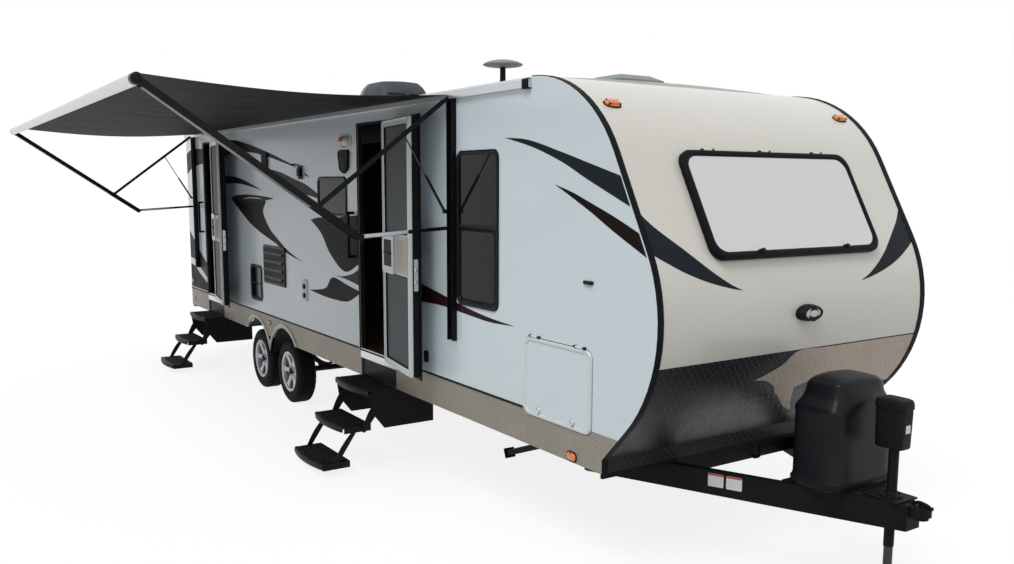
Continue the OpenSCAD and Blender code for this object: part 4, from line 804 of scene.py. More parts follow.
for tag, x in DOORS.items():
    door_details(tag, x)
    sill = Shape()
    profile = [(0.004, 0.906), (-0.014, 0.909), (-0.017, 0.905), (-0.017, 0.850), (-0.015, 0.826), (-0.007, 0.822),
               (-0.007, 0.850), (0.004, 0.884)]
    sill.loops([[(u, -SIDE + 0.012 + y, z) for y, z in profile] for u in (x - DOOR_W + 0.002, x - 0.002)])
    for k in range(5):
        y = -SIDE + 0.0005 + 0.0035 * k
        sill.tube([(x - DOOR_W + 0.012, y, 0.9085), (x - 0.012, y, 0.9085)], 0.0012, n=6)
    sill.piece(f"{tag}_door_sill", "alloy", slot="alloy")

# ------------------------------------------------------------------ fittings on the right wall
louvres = Shape()
VENT_X0, VENT_X1, VENT_Z = -6.898, -6.352, 1.317
for k in range(4):
    z = VENT_Z + 0.088 * k
    profile = [(0.000, z + 0.036), (0.016, z + 0.036), (0.034, z + 0.012), (0.034, z + 0.006), (0.030, z + 0.006), (0.014, z + 0.028), (0.0, z + 0.029)]
    louvres.loops([[(u, -SIDE - y, v) for y, v in profile] for u in (VENT_X0 - 0.012, VENT_X1 + 0.012)])
bead(louvres, round_rect(-6.960, 1.260, -6.290, 1.683, 0.022, 6), right, [(0.0, 0.0), (0.0, 0.010), (0.005, 0.0145), (0.014, 0.0155), (0.022, 0.0145)])
louvres.piece("vent_louvres", "gloss", slot="black_plastic", bevel=0.001)

speaker = Shape()
shield = curve([(-4.815, 2.640), (-4.712, 2.650), (-4.609, 2.640), (-4.612, 2.560), (-4.650, 2.480), (-4.712, 2.440), (-4.774, 2.480), (-4.812, 2.560)], 6, True)
speaker.loops([[right(-4.712 + (p.x + 4.712) * k, 2.56 + (p.y - 2.56) * k, h) for p in shield]
               for k, h in ((1.0, 0.0), (1.0, 0.016), (0.96, 0.024), (0.86, 0.025), (0.82, 0.021), (0.4, 0.024), (0.05, 0.025))])
speaker.prism(round_rect(-6.915, 2.505, -6.745, 2.675, 0.030), right, 0.020)
for k in range(6):
    z = 2.530 + 0.022 * k
    speaker.prism(round_rect(-6.895, z, -6.765, z + 0.010, 0.004, 3), lambda u, v, w: right(u, v, 0.020 + w), 0.004)
speaker.piece("wall_speakers", "black", slot="black_plastic", bevel=0.0015)

bracket = Shape()
bracket.prism(round_rect(-5.835, 2.395, -5.725, 2.525, 0.010), right, 0.014)
bracket.prism(round_rect(-5.815, 2.420, -5.745, 2.500, 0.008), lambda u, v, w: right(u, v, 0.014 + w), 0.022)
bracket.tube([right(-5.840, 2.530, 0.012), right(-6.010, 2.545, 0.012), right(-6.030, 2.530, 0.012)], 0.006, n=8)
bracket.use(1)
bead(bracket, round_rect(-5.842, 2.388, -5.718, 2.532, 0.014, 5), right, [(0.0, 0.0), (0.0, 0.006), (0.006, 0.006)])
bracket.piece("entertainment_bracket", ["black", "silver"], slot="black_plastic", bevel=0.0015)

plate_piece = Shape()
plate_piece.prism(round_rect(-5.790, 1.180, -5.690, 1.400, 0.016), right, 0.012)
plate_piece.use(1)
for z in (1.330, 1.240):
    plate_piece.lathe([(0.0, 0.028), (0.020, 0.028), (0.026, 0.024), (0.026, 0.012)],
                      lambda u, v, w, z=z: right(-5.740 + u, z + v, w), 24)
plate_piece.piece("utility_plate", ["label", "gloss"], slot="white_plastic", bevel=0.0015)

latch = Shape()
latch.prism(round_rect(-1.262, 1.775, -1.178, 1.797, 0.008), right, 0.014)
latch.lathe([(0.0, 0.022), (0.007, 0.021), (0.009, 0.014)], lambda u, v, w: right(-1.195 + u, 1.786 + v, w), 16)
latch.piece("cable_latch", "gloss", slot="black_plastic", bevel=0.0015)

catch = Shape()
catch.prism(round_rect(-3.222, 0.985, -3.182, 1.075, 0.008), right, 0.020)
catch.prism(round_rect(-3.214, 1.045, -3.190, 1.067, 0.005), lambda u, v, w: right(u, v, 0.020 + w), 0.008)
catch.piece("door_catch", "gloss", slot="black_plastic", bevel=0.0015)

# ------------------------------------------------------------------ baggage doors
BAG = (-1.876, 0.866, 0.704, 0.522)
for s, tag in ((-1, "right"), (1, "left")):
    place = side_place(s)
    x, z, w, h = BAG
    lip = Shape()
    bead(lip, round_rect(x + 0.006, z + 0.006, x + w - 0.006, z + h - 0.006, 0.054, 8), place,
         [(0.0, 0.000), (0.0, 0.007), (0.003, 0.011), (0.012, 0.012), (0.020, 0.011), (0.023, 0.0065)])
    lip.piece(f"baggage_lip_{tag}", "white", f"baggage_{tag}_leaf", "wall_skin")
    locks = Shape()
    for u, v in ((x + 0.170, z + 0.052), (x + w - 0.180, z + 0.052)):
        where = at(place, u, v)
        locks.lathe([(0.0, 0.015), (0.010, 0.015), (0.0115, 0.018), (0.017, 0.018), (0.020, 0.014), (0.020, 0.005)], where, 24)
        locks.prism(round_rect(-0.0085, -0.0018, 0.0085, 0.0018, 0.0015, 2), lambda a, b, c, f=where: f(a, b, 0.015 + c), 0.001)
    locks.piece(f"baggage_locks_{tag}", "steel", f"baggage_{tag}_leaf", "bright_steel")

# ------------------------------------------------------------------ lamps
def lamp(name, mat, place, half_w, half_h, depth, slot="black_plastic", bezel=0.007, power=2.6, bezel_depth=0.006):
    shape = Shape()
    if bezel:
        dome(shape, place, half_w + bezel, half_h + bezel, bezel_depth, power, skirt=0.8, rings=3)
    shape.use(1)
    dome(shape, place, half_w, half_h, depth, power)
    return shape.piece(name, ["trim", mat], slot=slot)


MARK = math.radians(51)
for s, tag in ((-1, "right"), (1, "left")):
    def cap_mark(u, v, w, s=s):
        base = Vector((CAP_CX + CAP_R * math.cos(MARK), s * 1.043, ROOF - CAP_R + CAP_R * math.sin(MARK)))
        n = Vector((math.cos(MARK), 0, math.sin(MARK)))
        up = Vector((-math.sin(MARK), 0, math.cos(MARK)))
        return tuple(base + Vector((0, 1, 0)) * u + up * v + n * (w - 0.001))
    lamp(f"cap_marker_{tag}", "amber", cap_mark, 0.056, 0.030, 0.030)
    place = side_place(s)
    lamp(f"side_marker_front_{tag}", "amber", at(place, -1.365, 0.702), 0.045, 0.027, 0.0165)
    lamp(f"side_marker_rear_{tag}", "red", at(place, REAR + 0.110, 1.010), 0.045, 0.027, 0.0165)
    where = at(rear_place, s * (INNER - 0.150), 1.045)
    lamp(f"tail_lamp_{tag}", "red", where, 0.084, 0.092, 0.040, power=5.0)
    lamp(f"high_marker_{tag}", "red", at(rear_place, s * (INNER - 0.080), 2.9125), 0.046, 0.027, 0.026)
    lamp(f"skirt_reflector_{tag}", "red", at(place, REAR + 0.150, 0.760), 0.038, 0.018, 0.010, bezel_depth=0.003)
    lamp(f"arch_marker_{tag}", "amber", at(place, -6.8525, 0.820), 0.052, 0.016, 0.012, bezel_depth=0.003)

porch = Shape()
dome(porch, at(right, -4.675, 2.720), 0.118, 0.062, 0.014, 3.2, skirt=0.8, rings=3)
porch.use(1)
dome(porch, at(right, -4.722, 2.720), 0.058, 0.050, 0.044, 2.6)
porch.use(2)
dome(porch, at(right, -4.640, 2.720), 0.066, 0.050, 0.042, 2.6)
porch.piece("porch_lamp", ["white", "amber", "clear"], slot="white_plastic")

nose = Shape()
nose_place = lambda u, v, w: (NOSE + w - 0.010, u, NOSE_Z + 0.006 + v)
rings = [[nose_place(0.100 * k * math.cos(t), 0.050 * k * math.sin(t), h) for t in (2 * math.pi * i / 40 for i in range(40))]
         for k, h in ((1.04, 0.0), (1.02, 0.030), (0.96, 0.052), (0.86, 0.064), (0.74, 0.066), (0.70, 0.058))]
nose.loops(rings, caps=False)
nose.use(1)
dome(nose, lambda u, v, w: nose_place(u, v, w + 0.050), 0.071, 0.036, 0.018, 2.0)
nose.piece("nose_lamp", ["black", "clear"], slot="black_plastic")
# ------------------------------------------------------------------ awning
rail_lo, rail_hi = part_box("awning_rail")
roll_lo, roll_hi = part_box("awning_roller")
ROLLER_Y, ROLLER_Z = (roll_lo.y + roll_hi.y) / 2, (roll_lo.z + roll_hi.z) / 2
ROLLER_R = (roll_hi.z - roll_lo.z) / 2
CLOTH_Y, CLOTH_Z = rail_lo.y - 0.0005, rail_hi.z - 0.018
cloth_x = (roll_lo.x + 0.012, roll_hi.x - 0.012)
SAG = 0.055


def cloth_point(u, t):
    """A point of the cloth: u along the wall, t from the rail to the roller. It sags between them and ripples."""
    along = math.sin(math.pi * t)
    ripple = 0.006 * along * math.sin(9.0 * u + 2.0 * t) * math.sin(4.1 * u)
    z = CLOTH_Z + (ROLLER_Z + ROLLER_R + 0.002 - CLOTH_Z) * t - SAG * along + ripple
    return (u, CLOTH_Y + (ROLLER_Y - CLOTH_Y) * t, z)


awning = Shape()
awning.loops([[cloth_point(cloth_x[0] + (cloth_x[1] - cloth_x[0]) * i / 120, k / 22) for i in range(121)] for k in range(23)],
             closed=False)
awning = awning.piece("awning_cloth", "cloth", slot="sheet", smooth=80)
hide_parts("awning_fabric")
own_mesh(awning)

ends = Shape()
for x, s in ((roll_hi.x, 1), (roll_lo.x, -1)):
    ends.lathe([(0.0, 0.078), (0.017, 0.077), (0.031, 0.070), (0.0365, 0.060), (0.0368, -0.010), (0.035, -0.014), (0.0, -0.014)],
               lambda u, v, w, x=x, s=s: (x + s * w, ROLLER_Y + u, ROLLER_Z + v), 28)
ends.piece("awning_roller_caps", "gloss", "outer_arms", "black_plastic")
rail_cap = Shape()
rail_cap.loops([[(x, y, z) for y, z in round_rect(rail_lo.y - 0.006, rail_lo.z - 0.008, rail_hi.y, rail_hi.z + 0.006, 0.008, 4)]
                for x in (rail_hi.x - 0.070, rail_hi.x - 0.006)])
rail_cap.piece("awning_rail_cap", "trim", slot="black_trim", bevel=0.002)

arm_lo, arm_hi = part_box("awning_lower_arms")
lower_foot, lower_tip = Vector((0, -SIDE - 0.068, 2.038)), Vector((0, -1.96687, 1.99533))
run = (lower_tip - lower_foot).normalized()
across = Vector((0, -run.z, run.y))
sleeve = Shape()
for x in (arm_hi.x - 0.010, arm_lo.x + 0.010):
    rings = []
    for t in (0.30, 0.635):
        middle = lower_foot + run * t
        rings.append([middle + Vector((x + u, 0, 0)) + across * v for u, v in round_rect(-0.0105, -0.0145, 0.0105, 0.0145, 0.005, 3)])
    sleeve.loops(rings)
sleeve.piece("awning_arm_sleeves", "alloy", "lower_arms", "alloy")

# ------------------------------------------------------------------ roof units
unit_lo, unit_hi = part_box("roof_units")
AC_X, AC_L, AC_W, AC_Z, AC_TOP = -6.170, 0.370, 0.310, ROOF + 0.055, unit_hi.z

AROUND, FRONT_HALF = 64, 17            # faces round the shroud, and how many on each side of the nose are dark


def shroud(a, h):
    """A point of the roof unit's shroud: a turned angle and a height from 0 to 1, narrower and leaning in towards the top."""
    r = (1 - 0.12 * h * h) * (1 - max(0.0, h - 0.80) * 0.9)
    u = math.copysign(abs(math.cos(a)) ** 0.42, math.cos(a)) * AC_L * r * (1 - 0.10 * h)
    v = math.copysign(abs(math.sin(a)) ** 0.42, math.sin(a)) * AC_W * r
    return (AC_X + u - 0.02 * h, v, AC_Z + (AC_TOP - AC_Z) * h * (1 - 0.03 * abs(v) / AC_W))


unit = Shape()
steps = [0.0, 0.05, 0.25, 0.50, 0.72, 0.86, 0.94, 0.985]
rings = [[shroud(2 * math.pi * k / AROUND, h) for k in range(AROUND)] for h in steps]
top = Vector((rings[-1][FRONT_HALF][0], 0, AC_TOP - 0.004))
rings += [[top.lerp(Vector(p), s) for p in rings[-1]] for s in (0.8, 0.4, 0.02)]
unit.loops(rings)
unit.slots = [1 if i % AROUND < FRONT_HALF or i % AROUND >= AROUND - FRONT_HALF else 0 for i in range(len(unit.faces))]
unit.use(1)
for k in range(7):
    z = AC_Z + 0.060 + 0.026 * k
    for s in (-1, 1):
        unit.box((AC_X + AC_L - 0.090, s * 0.02 if s > 0 else -0.22, z), (AC_X + AC_L - 0.012 - 0.010 * k / 6, 0.22 if s > 0 else -0.02, z + 0.010))
unit.box((AC_X - 0.24, -0.20, ROOF + 0.031), (AC_X + 0.24, 0.20, AC_Z + 0.004))
unit.use(2)
mast = (-2.680, -0.870)
foot_z = unit_lo.z
unit.lathe([(0.0, 0.0), (0.060, 0.0), (0.060, 0.028), (0.052, 0.034), (0.026, 0.040), (0.021, 0.060), (0.020, 0.150)],
           lambda u, v, w: (mast[0] + u, mast[1] + v, foot_z + w), 36)
unit.use(0)
unit.lathe([(0.0, 0.150), (0.080, 0.152), (0.132, 0.160), (0.144, 0.166), (0.142, 0.172), (0.110, 0.188), (0.060, 0.199), (0.0, 0.204)],
           lambda u, v, w: (mast[0] + u, mast[1] + v, foot_z + w), 56)
unit = unit.piece("roof_shroud_and_antenna", ["unit", "unit_dark", "black"], slot="white_plastic", smooth=30)
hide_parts("roof_units")
lid_lo, lid_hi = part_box("roof_vent_lid")
vent_ribs = Shape()
for k in (-1, 0, 1):
    x = (lid_lo.x + lid_hi.x) / 2 + 0.085 * k
    vent_ribs.tube([(x, y, lid_hi.z - 0.003) for y in (-0.13, 0.0, 0.13)], 0.006, n=8)
vent_ribs.piece("vent_lid_ribs", "unit", "vent_lid", "white_plastic")

# ------------------------------------------------------------------ gas cover, jack head and coupler
cover_lo, cover_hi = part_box("gas_cover")
COVER_X = (cover_lo.x + cover_hi.x) / 2
COVER_A, COVER_B = (cover_hi.x - cover_lo.x) / 2, cover_hi.y
cover = Shape()
sections = [(1.000, 0.000, 0.0), (1.000, 0.060, 0.0), (0.985, 0.066, 0.0), (0.985, 0.425, 0.0), (1.000, 0.470, 0.8),
            (0.995, 0.488, 1.0), (0.960, 0.508, 1.0), (0.880, 0.532, 0.8), (0.800, 0.560, 0.4), (0.770, 0.598, 0.2),
            (0.760, 0.606, 0.2), (0.740, 0.606, 0.2), (0.730, 0.616, 0.2), (0.640, 0.632, 0.2), (0.420, 0.644, 0.1),
            (0.200, 0.649, 0.0), (0.010, 0.650, 0.0)]
rings = []
for scale, h, wave in sections:
    ring = []
    for k in range(80):
        a = 2 * math.pi * k / 80
        u = math.copysign(abs(math.cos(a)) ** 0.32, math.cos(a)) * COVER_A * scale
        v = math.copysign(abs(math.sin(a)) ** 0.32, math.sin(a)) * COVER_B * scale
        dip = 0.034 * wave * math.cos(2 * math.pi * v / 0.42)
        ring.append((COVER_X + u, v, cover_lo.z + h + dip))
    rings.append(ring)
cover.loops(rings)
cover = cover.piece("gas_bottle_cover", "sheen", slot="black_plastic", smooth=50)
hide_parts("gas_cover")
strap = Shape()
strap.loops([[(COVER_X + u * 1.0, v, cover_lo.z + 0.020 + h) for u, v in round_rect(-COVER_A - d, -COVER_B - d, COVER_A + d, COVER_B + d, 0.07, 8)]
             for d, h in ((0.0, 0.0), (0.004, 0.003), (0.004, 0.021), (0.0, 0.024))], caps=False)
strap.piece("gas_cover_strap", "black", slot="black_plastic")

HEAD_X, HEAD_L, HEAD_W, HEAD_LOW, HEAD_TOP = -0.012, 0.095, 0.065, 0.905, 1.187
TUBE_LOW, TUBE_R = 0.331, 0.0285
head = Shape()
rings = []
for scale, z in ((0.84, HEAD_LOW), (0.90, HEAD_LOW + 0.008), (0.93, 1.020), (0.95, 1.118), (0.93, 1.122), (0.93, 1.126),
                 (1.00, 1.130), (1.00, 1.150), (0.97, 1.168), (0.90, 1.180), (0.74, 1.186), (0.40, HEAD_TOP), (0.02, HEAD_TOP)):
    rings.append([(HEAD_X + HEAD_L * scale * math.copysign(abs(math.cos(a)) ** 0.40, math.cos(a)),
                   HEAD_W * scale * math.copysign(abs(math.sin(a)) ** 0.40, math.sin(a)), z)
                  for a in (2 * math.pi * k / 56 for k in range(56))])
head.loops(rings)
jack_lo, jack_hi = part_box("jack_body")
head.lathe([(0.0248, TUBE_LOW), (TUBE_R, TUBE_LOW), (TUBE_R, HEAD_LOW + 0.004)], lambda u, v, w: (u, v, w), 40)
head.lathe([(TUBE_R, 0.626), (0.062, 0.626), (0.062, 0.633), (0.059, 0.636), (TUBE_R + 0.006, 0.636), (TUBE_R, 0.650)],
           lambda u, v, w: (u, v, w), 40)
for k in range(3):
    a = math.radians(60 + 120 * k)
    head.lathe([(0.0, 0.644), (0.006, 0.643), (0.0075, 0.640), (0.0075, 0.636)],
               lambda u, v, w, a=a: (0.047 * math.cos(a) + u, 0.047 * math.sin(a) + v, w), 6)
head.use(1)
head.box((HEAD_X + 0.080, -0.020, 1.000), (HEAD_X + 0.0898, 0.020, 1.046))
head = head.piece("jack_head_and_tube", ["black", "label"], slot="black_plastic", smooth=40)
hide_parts("jack_body")

BALL_X = 0.180
lever = Shape()
lever.tube(curve([(BALL_X - 0.055, 0, 0.612), (BALL_X - 0.020, 0, 0.634), (BALL_X + 0.020, 0, 0.633), (BALL_X + 0.048, 0, 0.626)], 5),
           [0.009] * 6 + [0.010] * 10, n=12)
lever.piece("coupler_lever", "chassis", slot="black_paint", smooth=60)

# ------------------------------------------------------------------ drawbar labels and gas pipe
RAIL_A = math.radians(24.03)


def rail_face(u, v, w):
    """A place on the right drawbar rail's outer face: u forward along it, v up and w off it."""
    return (-1.664 + u * math.cos(RAIL_A) + w * math.sin(RAIL_A), -0.850 + u * math.sin(RAIL_A) - w * math.cos(RAIL_A), v)


tags = Shape()
for u in (0.830, 0.945):
    tags.use(0).prism(round_rect(u, 0.518, u + 0.098, 0.600, 0.006, 3), rail_face, 0.0015)
    tags.use(1).prism(round_rect(u + 0.001, 0.588, u + 0.097, 0.599, 0.004, 3), lambda a, b, c: rail_face(a, b, c + 0.0012), 0.001)
tags.piece("drawbar_labels", ["label", "red_label"], slot="black_paint")
pipe = Shape()
pipe.tube(curve([(-1.185, 0.22, 0.800), (-1.150, 0.22, 0.690), (-1.135, 0.22, 0.600), (-1.140, 0.22, 0.530), (-1.176, 0.22, 0.508),
                 (-1.190, 0.22, 0.507)], 6), 0.011, n=12)
pipe.piece("gas_pipe", "trim", slot="black_trim", smooth=60)

# ------------------------------------------------------------------ wheels
wheel_lo, wheel_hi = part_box("tyre_front_right")
WHEEL_R, TYRE_W = (wheel_hi.z - wheel_lo.z) / 2, wheel_hi.y - wheel_lo.y
RIM_R = 0.210


def tyre_profile(column):
    """(radius, distance outward) round the tyre. Every other pair of columns is a notch across the shoulder blocks."""
    notch = 0.007 if column % 4 == 0 else 0.0
    half, r = TYRE_W / 2, WHEEL_R
    side = [(RIM_R - 0.006, half - 0.022), (RIM_R + 0.012, half - 0.010), (RIM_R + 0.020, half - 0.009), (RIM_R + 0.024, half - 0.004),
            (RIM_R + 0.055, half - 0.0005), (RIM_R + 0.078, half - 0.001), (RIM_R + 0.081, half - 0.003), (r - 0.040, half - 0.004),
            (r - 0.030 - notch, half - 0.007), (r - 0.010 - notch, half - 0.020), (r - 0.003 - notch, half - 0.030), (r - notch, half - 0.050)]
    ribs = []
    for centre in (0.045, 0.015, -0.015, -0.045):
        ribs += [(r - 0.0005, centre + 0.0045), (r - 0.008, centre + 0.0035), (r - 0.008, centre - 0.0035), (r - 0.0005, centre - 0.0045)]
    return side + ribs + [(a, -b) for a, b in reversed(side)]


def axle_place(x, s, y):
    """Places (x, z) and a distance outward about a wheel's axle. y is the middle of the tyre."""
    return lambda u, v, w: (x + u, s * (y + w), WHEEL_R + v)


hub_y = -(wheel_lo.y + wheel_hi.y) / 2
for end in ("front", "rear"):
    for s, side in ((-1, "right"), (1, "left")):
        lo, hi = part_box(f"tyre_{end}_{side}")
        place, body = axle_place((lo.x + hi.x) / 2, s, hub_y), f"wheel_{end}_{side}"
        tyre = Shape()
        tyre.loops([[place(r * math.cos(2 * math.pi * k / 128), r * math.sin(2 * math.pi * k / 128), w) for r, w in tyre_profile(k)]
                    for k in range(128)], closed=False, loop=True)
        tyre = tyre.piece(f"treaded_tyre_{end}_{side}", "tyre", body, "tyre", smooth=32)
        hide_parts(f"tyre_{end}_{side}")
        rim = Shape()
        half = TYRE_W / 2
        rim.lathe([(RIM_R - 0.020, 0.012 - half), (RIM_R + 0.006, 0.008 - half), (RIM_R + 0.004, 0.014 - half), (RIM_R - 0.012, 0.022 - half),
                   (RIM_R - 0.012, half - 0.022), (RIM_R + 0.004, half - 0.014), (RIM_R + 0.006, half - 0.008), (RIM_R, half - 0.006),
                   (RIM_R - 0.012, half - 0.008), (RIM_R - 0.020, half - 0.014), (RIM_R - 0.024, half - 0.030), (RIM_R - 0.024, 0.020 - half),
                   (RIM_R - 0.020, 0.012 - half)], place, 72)
        rim.lathe([(0.0210, 0.062), (0.060, 0.056), (0.064, 0.050), (0.064, 0.012), (0.0210, 0.010)], place, 40)
        for k in range(6):
            a = math.radians(60 * k)
            rings = []
            for r, half_w, low, high in ((0.050, 0.034, 0.030, 0.058), (0.085, 0.027, 0.032, 0.064), (0.140, 0.024, 0.040, 0.070),
                                         (0.178, 0.034, 0.050, 0.078), (0.1875, 0.046, 0.054, 0.080)):
                ring = round_rect(-half_w, low, half_w, high, 0.010, 3)
                rings.append([place(r * math.cos(a) - v * math.sin(a), r * math.sin(a) + v * math.cos(a), w) for v, w in ring])
            rim.loops(rings)
            b = a + math.radians(30)
            nut = lambda u, v, w, b=b: place(0.048 * math.cos(b) + u, 0.048 * math.sin(b) + v, w)
            rim.use(1).lathe([(0.0, 0.074), (0.006, 0.073), (0.009, 0.069), (0.009, 0.056)], nut, 6)
            rim.use(0)
        rim.use(2).lathe([(0.0, 0.088), (0.020, 0.087), (0.030, 0.082), (0.034, 0.074), (0.034, 0.054)], place, 36)
        rim = rim.piece(f"spoked_rim_{end}_{side}", ["rim", "steel", "gloss"], body, "rim", smooth=34)
        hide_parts(f"rim_{end}_{side}")

# ------------------------------------------------------------------ wheel arch trims
ARCH_R, WELL_R = 0.475, 0.468
arch_x = [(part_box(f"tyre_{end}_right")[0].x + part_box(f"tyre_{end}_right")[1].x) / 2 for end in ("front", "rear")]
ARCH_MID, ARCH_H = sum(arch_x) / 2, (arch_x[0] - arch_x[1]) / 2
ARCH_SECTION = [(-0.001, 0.000), (-0.001, 0.009), (0.004, 0.012), (0.014, 0.013), (0.024, 0.0115), (0.036, 0.0095), (0.042, 0.006),
                (0.042, 0.000)]
for s, side in ((-1, "right"), (1, "left")):
    arch = Shape()
    for way in (1, -1):
        rings = []
        for k in range(41):
            ring = []
            for o, w in ARCH_SECTION:
                r = ARCH_R + o
                start = math.asin((SKIRT + 0.002 - WHEEL_R) / r)
                stop = math.pi - math.acos(ARCH_H / r)
                a = start + (stop - start) * k / 40
                ring.append((ARCH_MID + way * (ARCH_H + r * math.cos(a)), s * (SIDE + w), WHEEL_R + r * math.sin(a)))
            rings.append(ring)
        arch.loops(rings, closed=True)
    arch.piece(f"arch_bead_{side}", "tan_trim", slot="alloy", smooth=50)
    # pressed liner over the two wheels, behind the skirt
    well = Shape()
    for way in (1, -1):
        start, stop = math.asin((SKIRT + 0.002 - WHEEL_R) / WELL_R), math.pi - math.acos(ARCH_H / WELL_R)
        for y0, y1 in ((SIDE - 0.024, 0.895),):
            path = [(ARCH_MID + way * (ARCH_H + WELL_R * math.cos(a)), WHEEL_R + WELL_R * math.sin(a))
                    for a in (start + (stop - start) * k / 32 for k in range(33))]
            well.loops([[(u, s * y0, v), (u, s * y1, v), (u, s * y1, v + 0.003), (u, s * y0, v + 0.003)] for u, v in path])
            well.loops([[(u, s * y1, SKIRT + 0.002), (u, s * y1, v), (u, s * (y1 - 0.003), v), (u, s * (y1 - 0.003), SKIRT + 0.002)]
                        for u, v in path[1:]])
    well.piece(f"wheel_well_{side}", "chassis", slot="black_paint", smooth=50)

# ------------------------------------------------------------------ entry steps
STEP_HALF, TREAD_D, TREAD_BOW = 0.336, 0.235, 0.038
TREADS = (("base", 1.233, 0.673, STEP_HALF), ("middle", 1.440, 0.394, STEP_HALF - 0.026), ("lower", 1.630, 0.115, STEP_HALF - 0.026))
inner_half = STEP_HALF - 0.026
BOW_R = (inner_half ** 2 + TREAD_BOW ** 2) / (2 * TREAD_BOW)
NOSE_SECTION = [(-0.026, 0.0022), (-0.006, 0.0022), (0.002, -0.001), (0.006, -0.009), (0.007, -0.030), (0.003, -0.046), (-0.004, -0.050),
                (-0.008, -0.046), (-0.007, -0.016), (-0.026, -0.0122)]


LINK_LANE = 0.276                          # the folded links pass under the tread's edge beyond this


def bow(u, v):
    """How far out the tread's curved front edge stands at a distance v from the middle."""
    return u + TREAD_D + TREAD_BOW - BOW_R + math.sqrt(BOW_R ** 2 - min(abs(v), inner_half) ** 2)


for end, x in (("front", -4.085), ("rear", -8.900)):
    for part, u, z, half in TREADS:
        body = "trailer" if part == "base" else f"{end}_step_{part}_body"
        nose = Shape()
        lanes = [v for v in (half * (-1 + k / 14) for k in range(29)) if abs(abs(v) - LINK_LANE) > 0.004]
        lanes = sorted(lanes + [s * (LINK_LANE + d) for s in (-1, 1) for d in (-0.001, 0.001)])
        nose.loops([[(x + v, -(bow(u, v) + du), z + (max(dz, -0.0135) if part == "middle" and abs(v) > LINK_LANE else dz))
                     for du, dz in NOSE_SECTION] for v in lanes])
        nose.piece(f"{end}_step_{part}_nose", "step", body, "black_paint", smooth=50)
        pad = Shape()
        wide = half - 0.040
        front = [(x + v, -(bow(u, v) - 0.040)) for v in (wide * (-1 + k / 10) for k in range(21))]
        outline = front + [(x + wide, -(u + 0.020)), (x - wide, -(u + 0.020))]
        pad.loops([[(a, b, z + h) for a, b in outline] for h in (0.0, 0.0016)])
        for k in range(9):
            row = 0.035 + 0.021 * k
            pad.tube([(x + v, -(u + row + 0.030 * (1 - (v / half) ** 2)), z + 0.0018) for v in (wide * 0.92 * (-1 + j / 4) for j in range(9))],
                     0.0022, n=6)
        pad.piece(f"{end}_step_{part}_grip", "grip", body, "black_paint")
    for part, foot, tip, lane, slim, bulge in (("arm", (1.300, 0.634), (1.507, 0.355), 0.3165, 0.022, 0.030),
                                               ("link", (1.575, 0.355), (1.765, 0.076), 0.2905, 0.017, 0.016)):
        foot, tip = Vector((0, -foot[0], foot[1])), Vector((0, -tip[0], tip[1]))
        way = (tip - foot).normalized()
        over = Vector((0, -way.z, way.y))
        length = (tip - foot).length
        edges = [[foot + way * (t * length) + over * e * (slim + swell * math.sin(math.pi * t) ** 1.3)
                  for t in (k / 16 for k in range(17))] for e, swell in ((1, 0.0), (-1, bulge))]
        outline = edges[0] + edges[1][::-1]
        covers = Shape()
        for s in (-1, 1):
            covers.loops([[p + Vector((x + s * (lane + w), 0, 0)) for p in outline] for w in (0.0, 0.007)])
        covers.piece(f"{end}_step_{part}_covers", "step", f"{end}_step_{part}s_body", "black_paint", bevel=0.0015)

# ------------------------------------------------------------------ floor, backdrop and light
def seen_as_white(tree):
    """1 for camera, glossy and transmission rays, and 0 for the rays that light the scene."""
    path = tree.nodes.new("ShaderNodeLightPath")
    total = path.outputs["Is Camera Ray"]
    for key in ("Is Glossy Ray", "Is Transmission Ray"):
        either = tree.nodes.new("ShaderNodeMath")
        either.operation = "MAXIMUM"
        tree.links.new(total, either.inputs[0])
        tree.links.new(path.outputs[key], either.inputs[1])
        total = either.outputs[0]
    return total


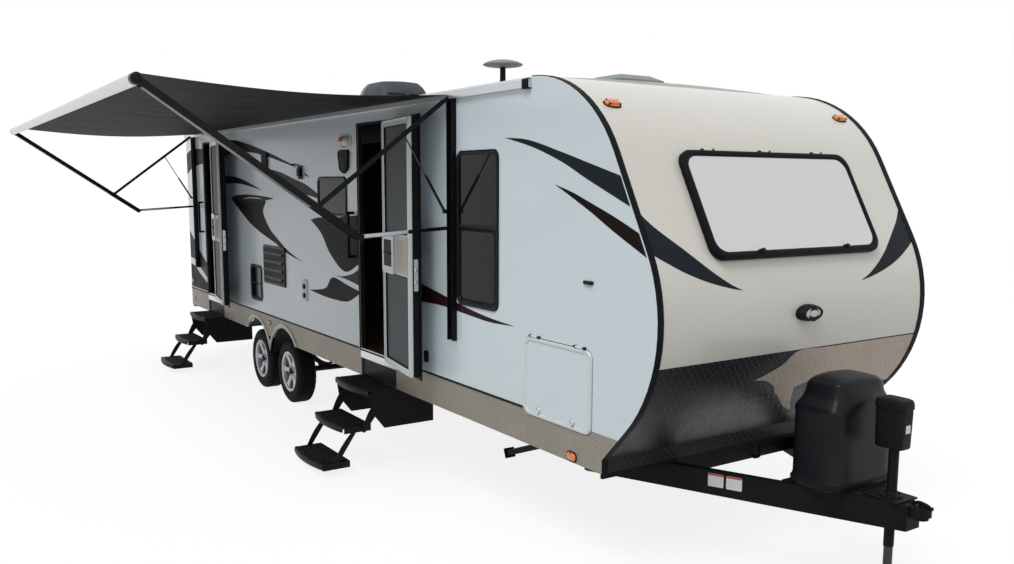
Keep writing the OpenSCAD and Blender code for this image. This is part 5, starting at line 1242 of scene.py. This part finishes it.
def make_ground():
    """A pale floor that reads as white to the camera and keeps the shadow. It bounces less light than it shows."""
    mat = bpy.data.materials.new("ground")
    mat.use_nodes = True
    tree = mat.node_tree
    tree.nodes.clear()
    out = tree.nodes.new("ShaderNodeOutputMaterial")
    seen = seen_as_white(tree)
    shade = tree.nodes.new("ShaderNodeMix")
    shade.data_type = "RGBA"
    shade.inputs[6].default_value = (0.42, 0.42, 0.415, 1.0)
    shade.inputs[7].default_value = (0.88, 0.88, 0.88, 1.0)
    diffuse = tree.nodes.new("ShaderNodeBsdfDiffuse")
    glow = tree.nodes.new("ShaderNodeEmission")
    glow.inputs["Color"].default_value = (1.0, 1.0, 1.0, 1.0)
    glow.inputs["Strength"].default_value = 1.06
    mix = tree.nodes.new("ShaderNodeMixShader")
    share = tree.nodes.new("ShaderNodeMath")
    share.operation = "MULTIPLY"
    share.inputs[1].default_value = 0.80
    tree.links.new(seen, shade.inputs[0])
    tree.links.new(shade.outputs[2], diffuse.inputs["Color"])
    tree.links.new(seen, share.inputs[0])
    tree.links.new(share.outputs[0], mix.inputs[0])
    tree.links.new(diffuse.outputs[0], mix.inputs[1])
    tree.links.new(glow.outputs[0], mix.inputs[2])
    tree.links.new(mix.outputs[0], out.inputs["Surface"])
    half = 160.0
    mesh = bpy.data.meshes.new("ground")
    mesh.from_pydata([(-half, -half, 0), (half, -half, 0), (half, half, 0), (-half, half, 0)], [], [(0, 1, 2, 3)])
    mesh.materials.append(mat)
    ground = bpy.data.objects.new("ground", mesh)
    scene.collection.objects.link(ground)


def make_world(strength):
    world = bpy.data.worlds.new("studio")
    world.use_nodes = True
    tree = world.node_tree
    sky = tree.nodes["Background"]
    sky.inputs["Color"].default_value = (0.97, 0.985, 1.0, 1.0)
    sky.inputs["Strength"].default_value = strength
    white = tree.nodes.new("ShaderNodeBackground")
    white.inputs["Color"].default_value = (1.0, 1.0, 1.0, 1.0)
    mix = tree.nodes.new("ShaderNodeMixShader")
    tree.links.new(seen_as_white(tree), mix.inputs[0])
    tree.links.new(sky.outputs[0], mix.inputs[1])
    tree.links.new(white.outputs[0], mix.inputs[2])
    tree.links.new(mix.outputs[0], tree.nodes["World Output"].inputs["Surface"])
    scene.world = world


def soft_sun(name, toward, energy, spread, color=(1.0, 1.0, 1.0)):
    data = bpy.data.lights.new(name, "SUN")
    data.energy, data.angle, data.color = energy, math.radians(spread), color
    lamp = bpy.data.objects.new(name, data)
    lamp.rotation_euler = Vector(toward).to_track_quat("Z", "Y").to_euler()
    scene.collection.objects.link(lamp)


make_ground()
make_world(0.50)
soft_sun("key", (0.20, -0.55, 0.90), 1.75, 30)
soft_sun("front_fill", (0.95, -0.10, 0.30), 0.30, 60)
scene.view_settings.view_transform = "Standard"
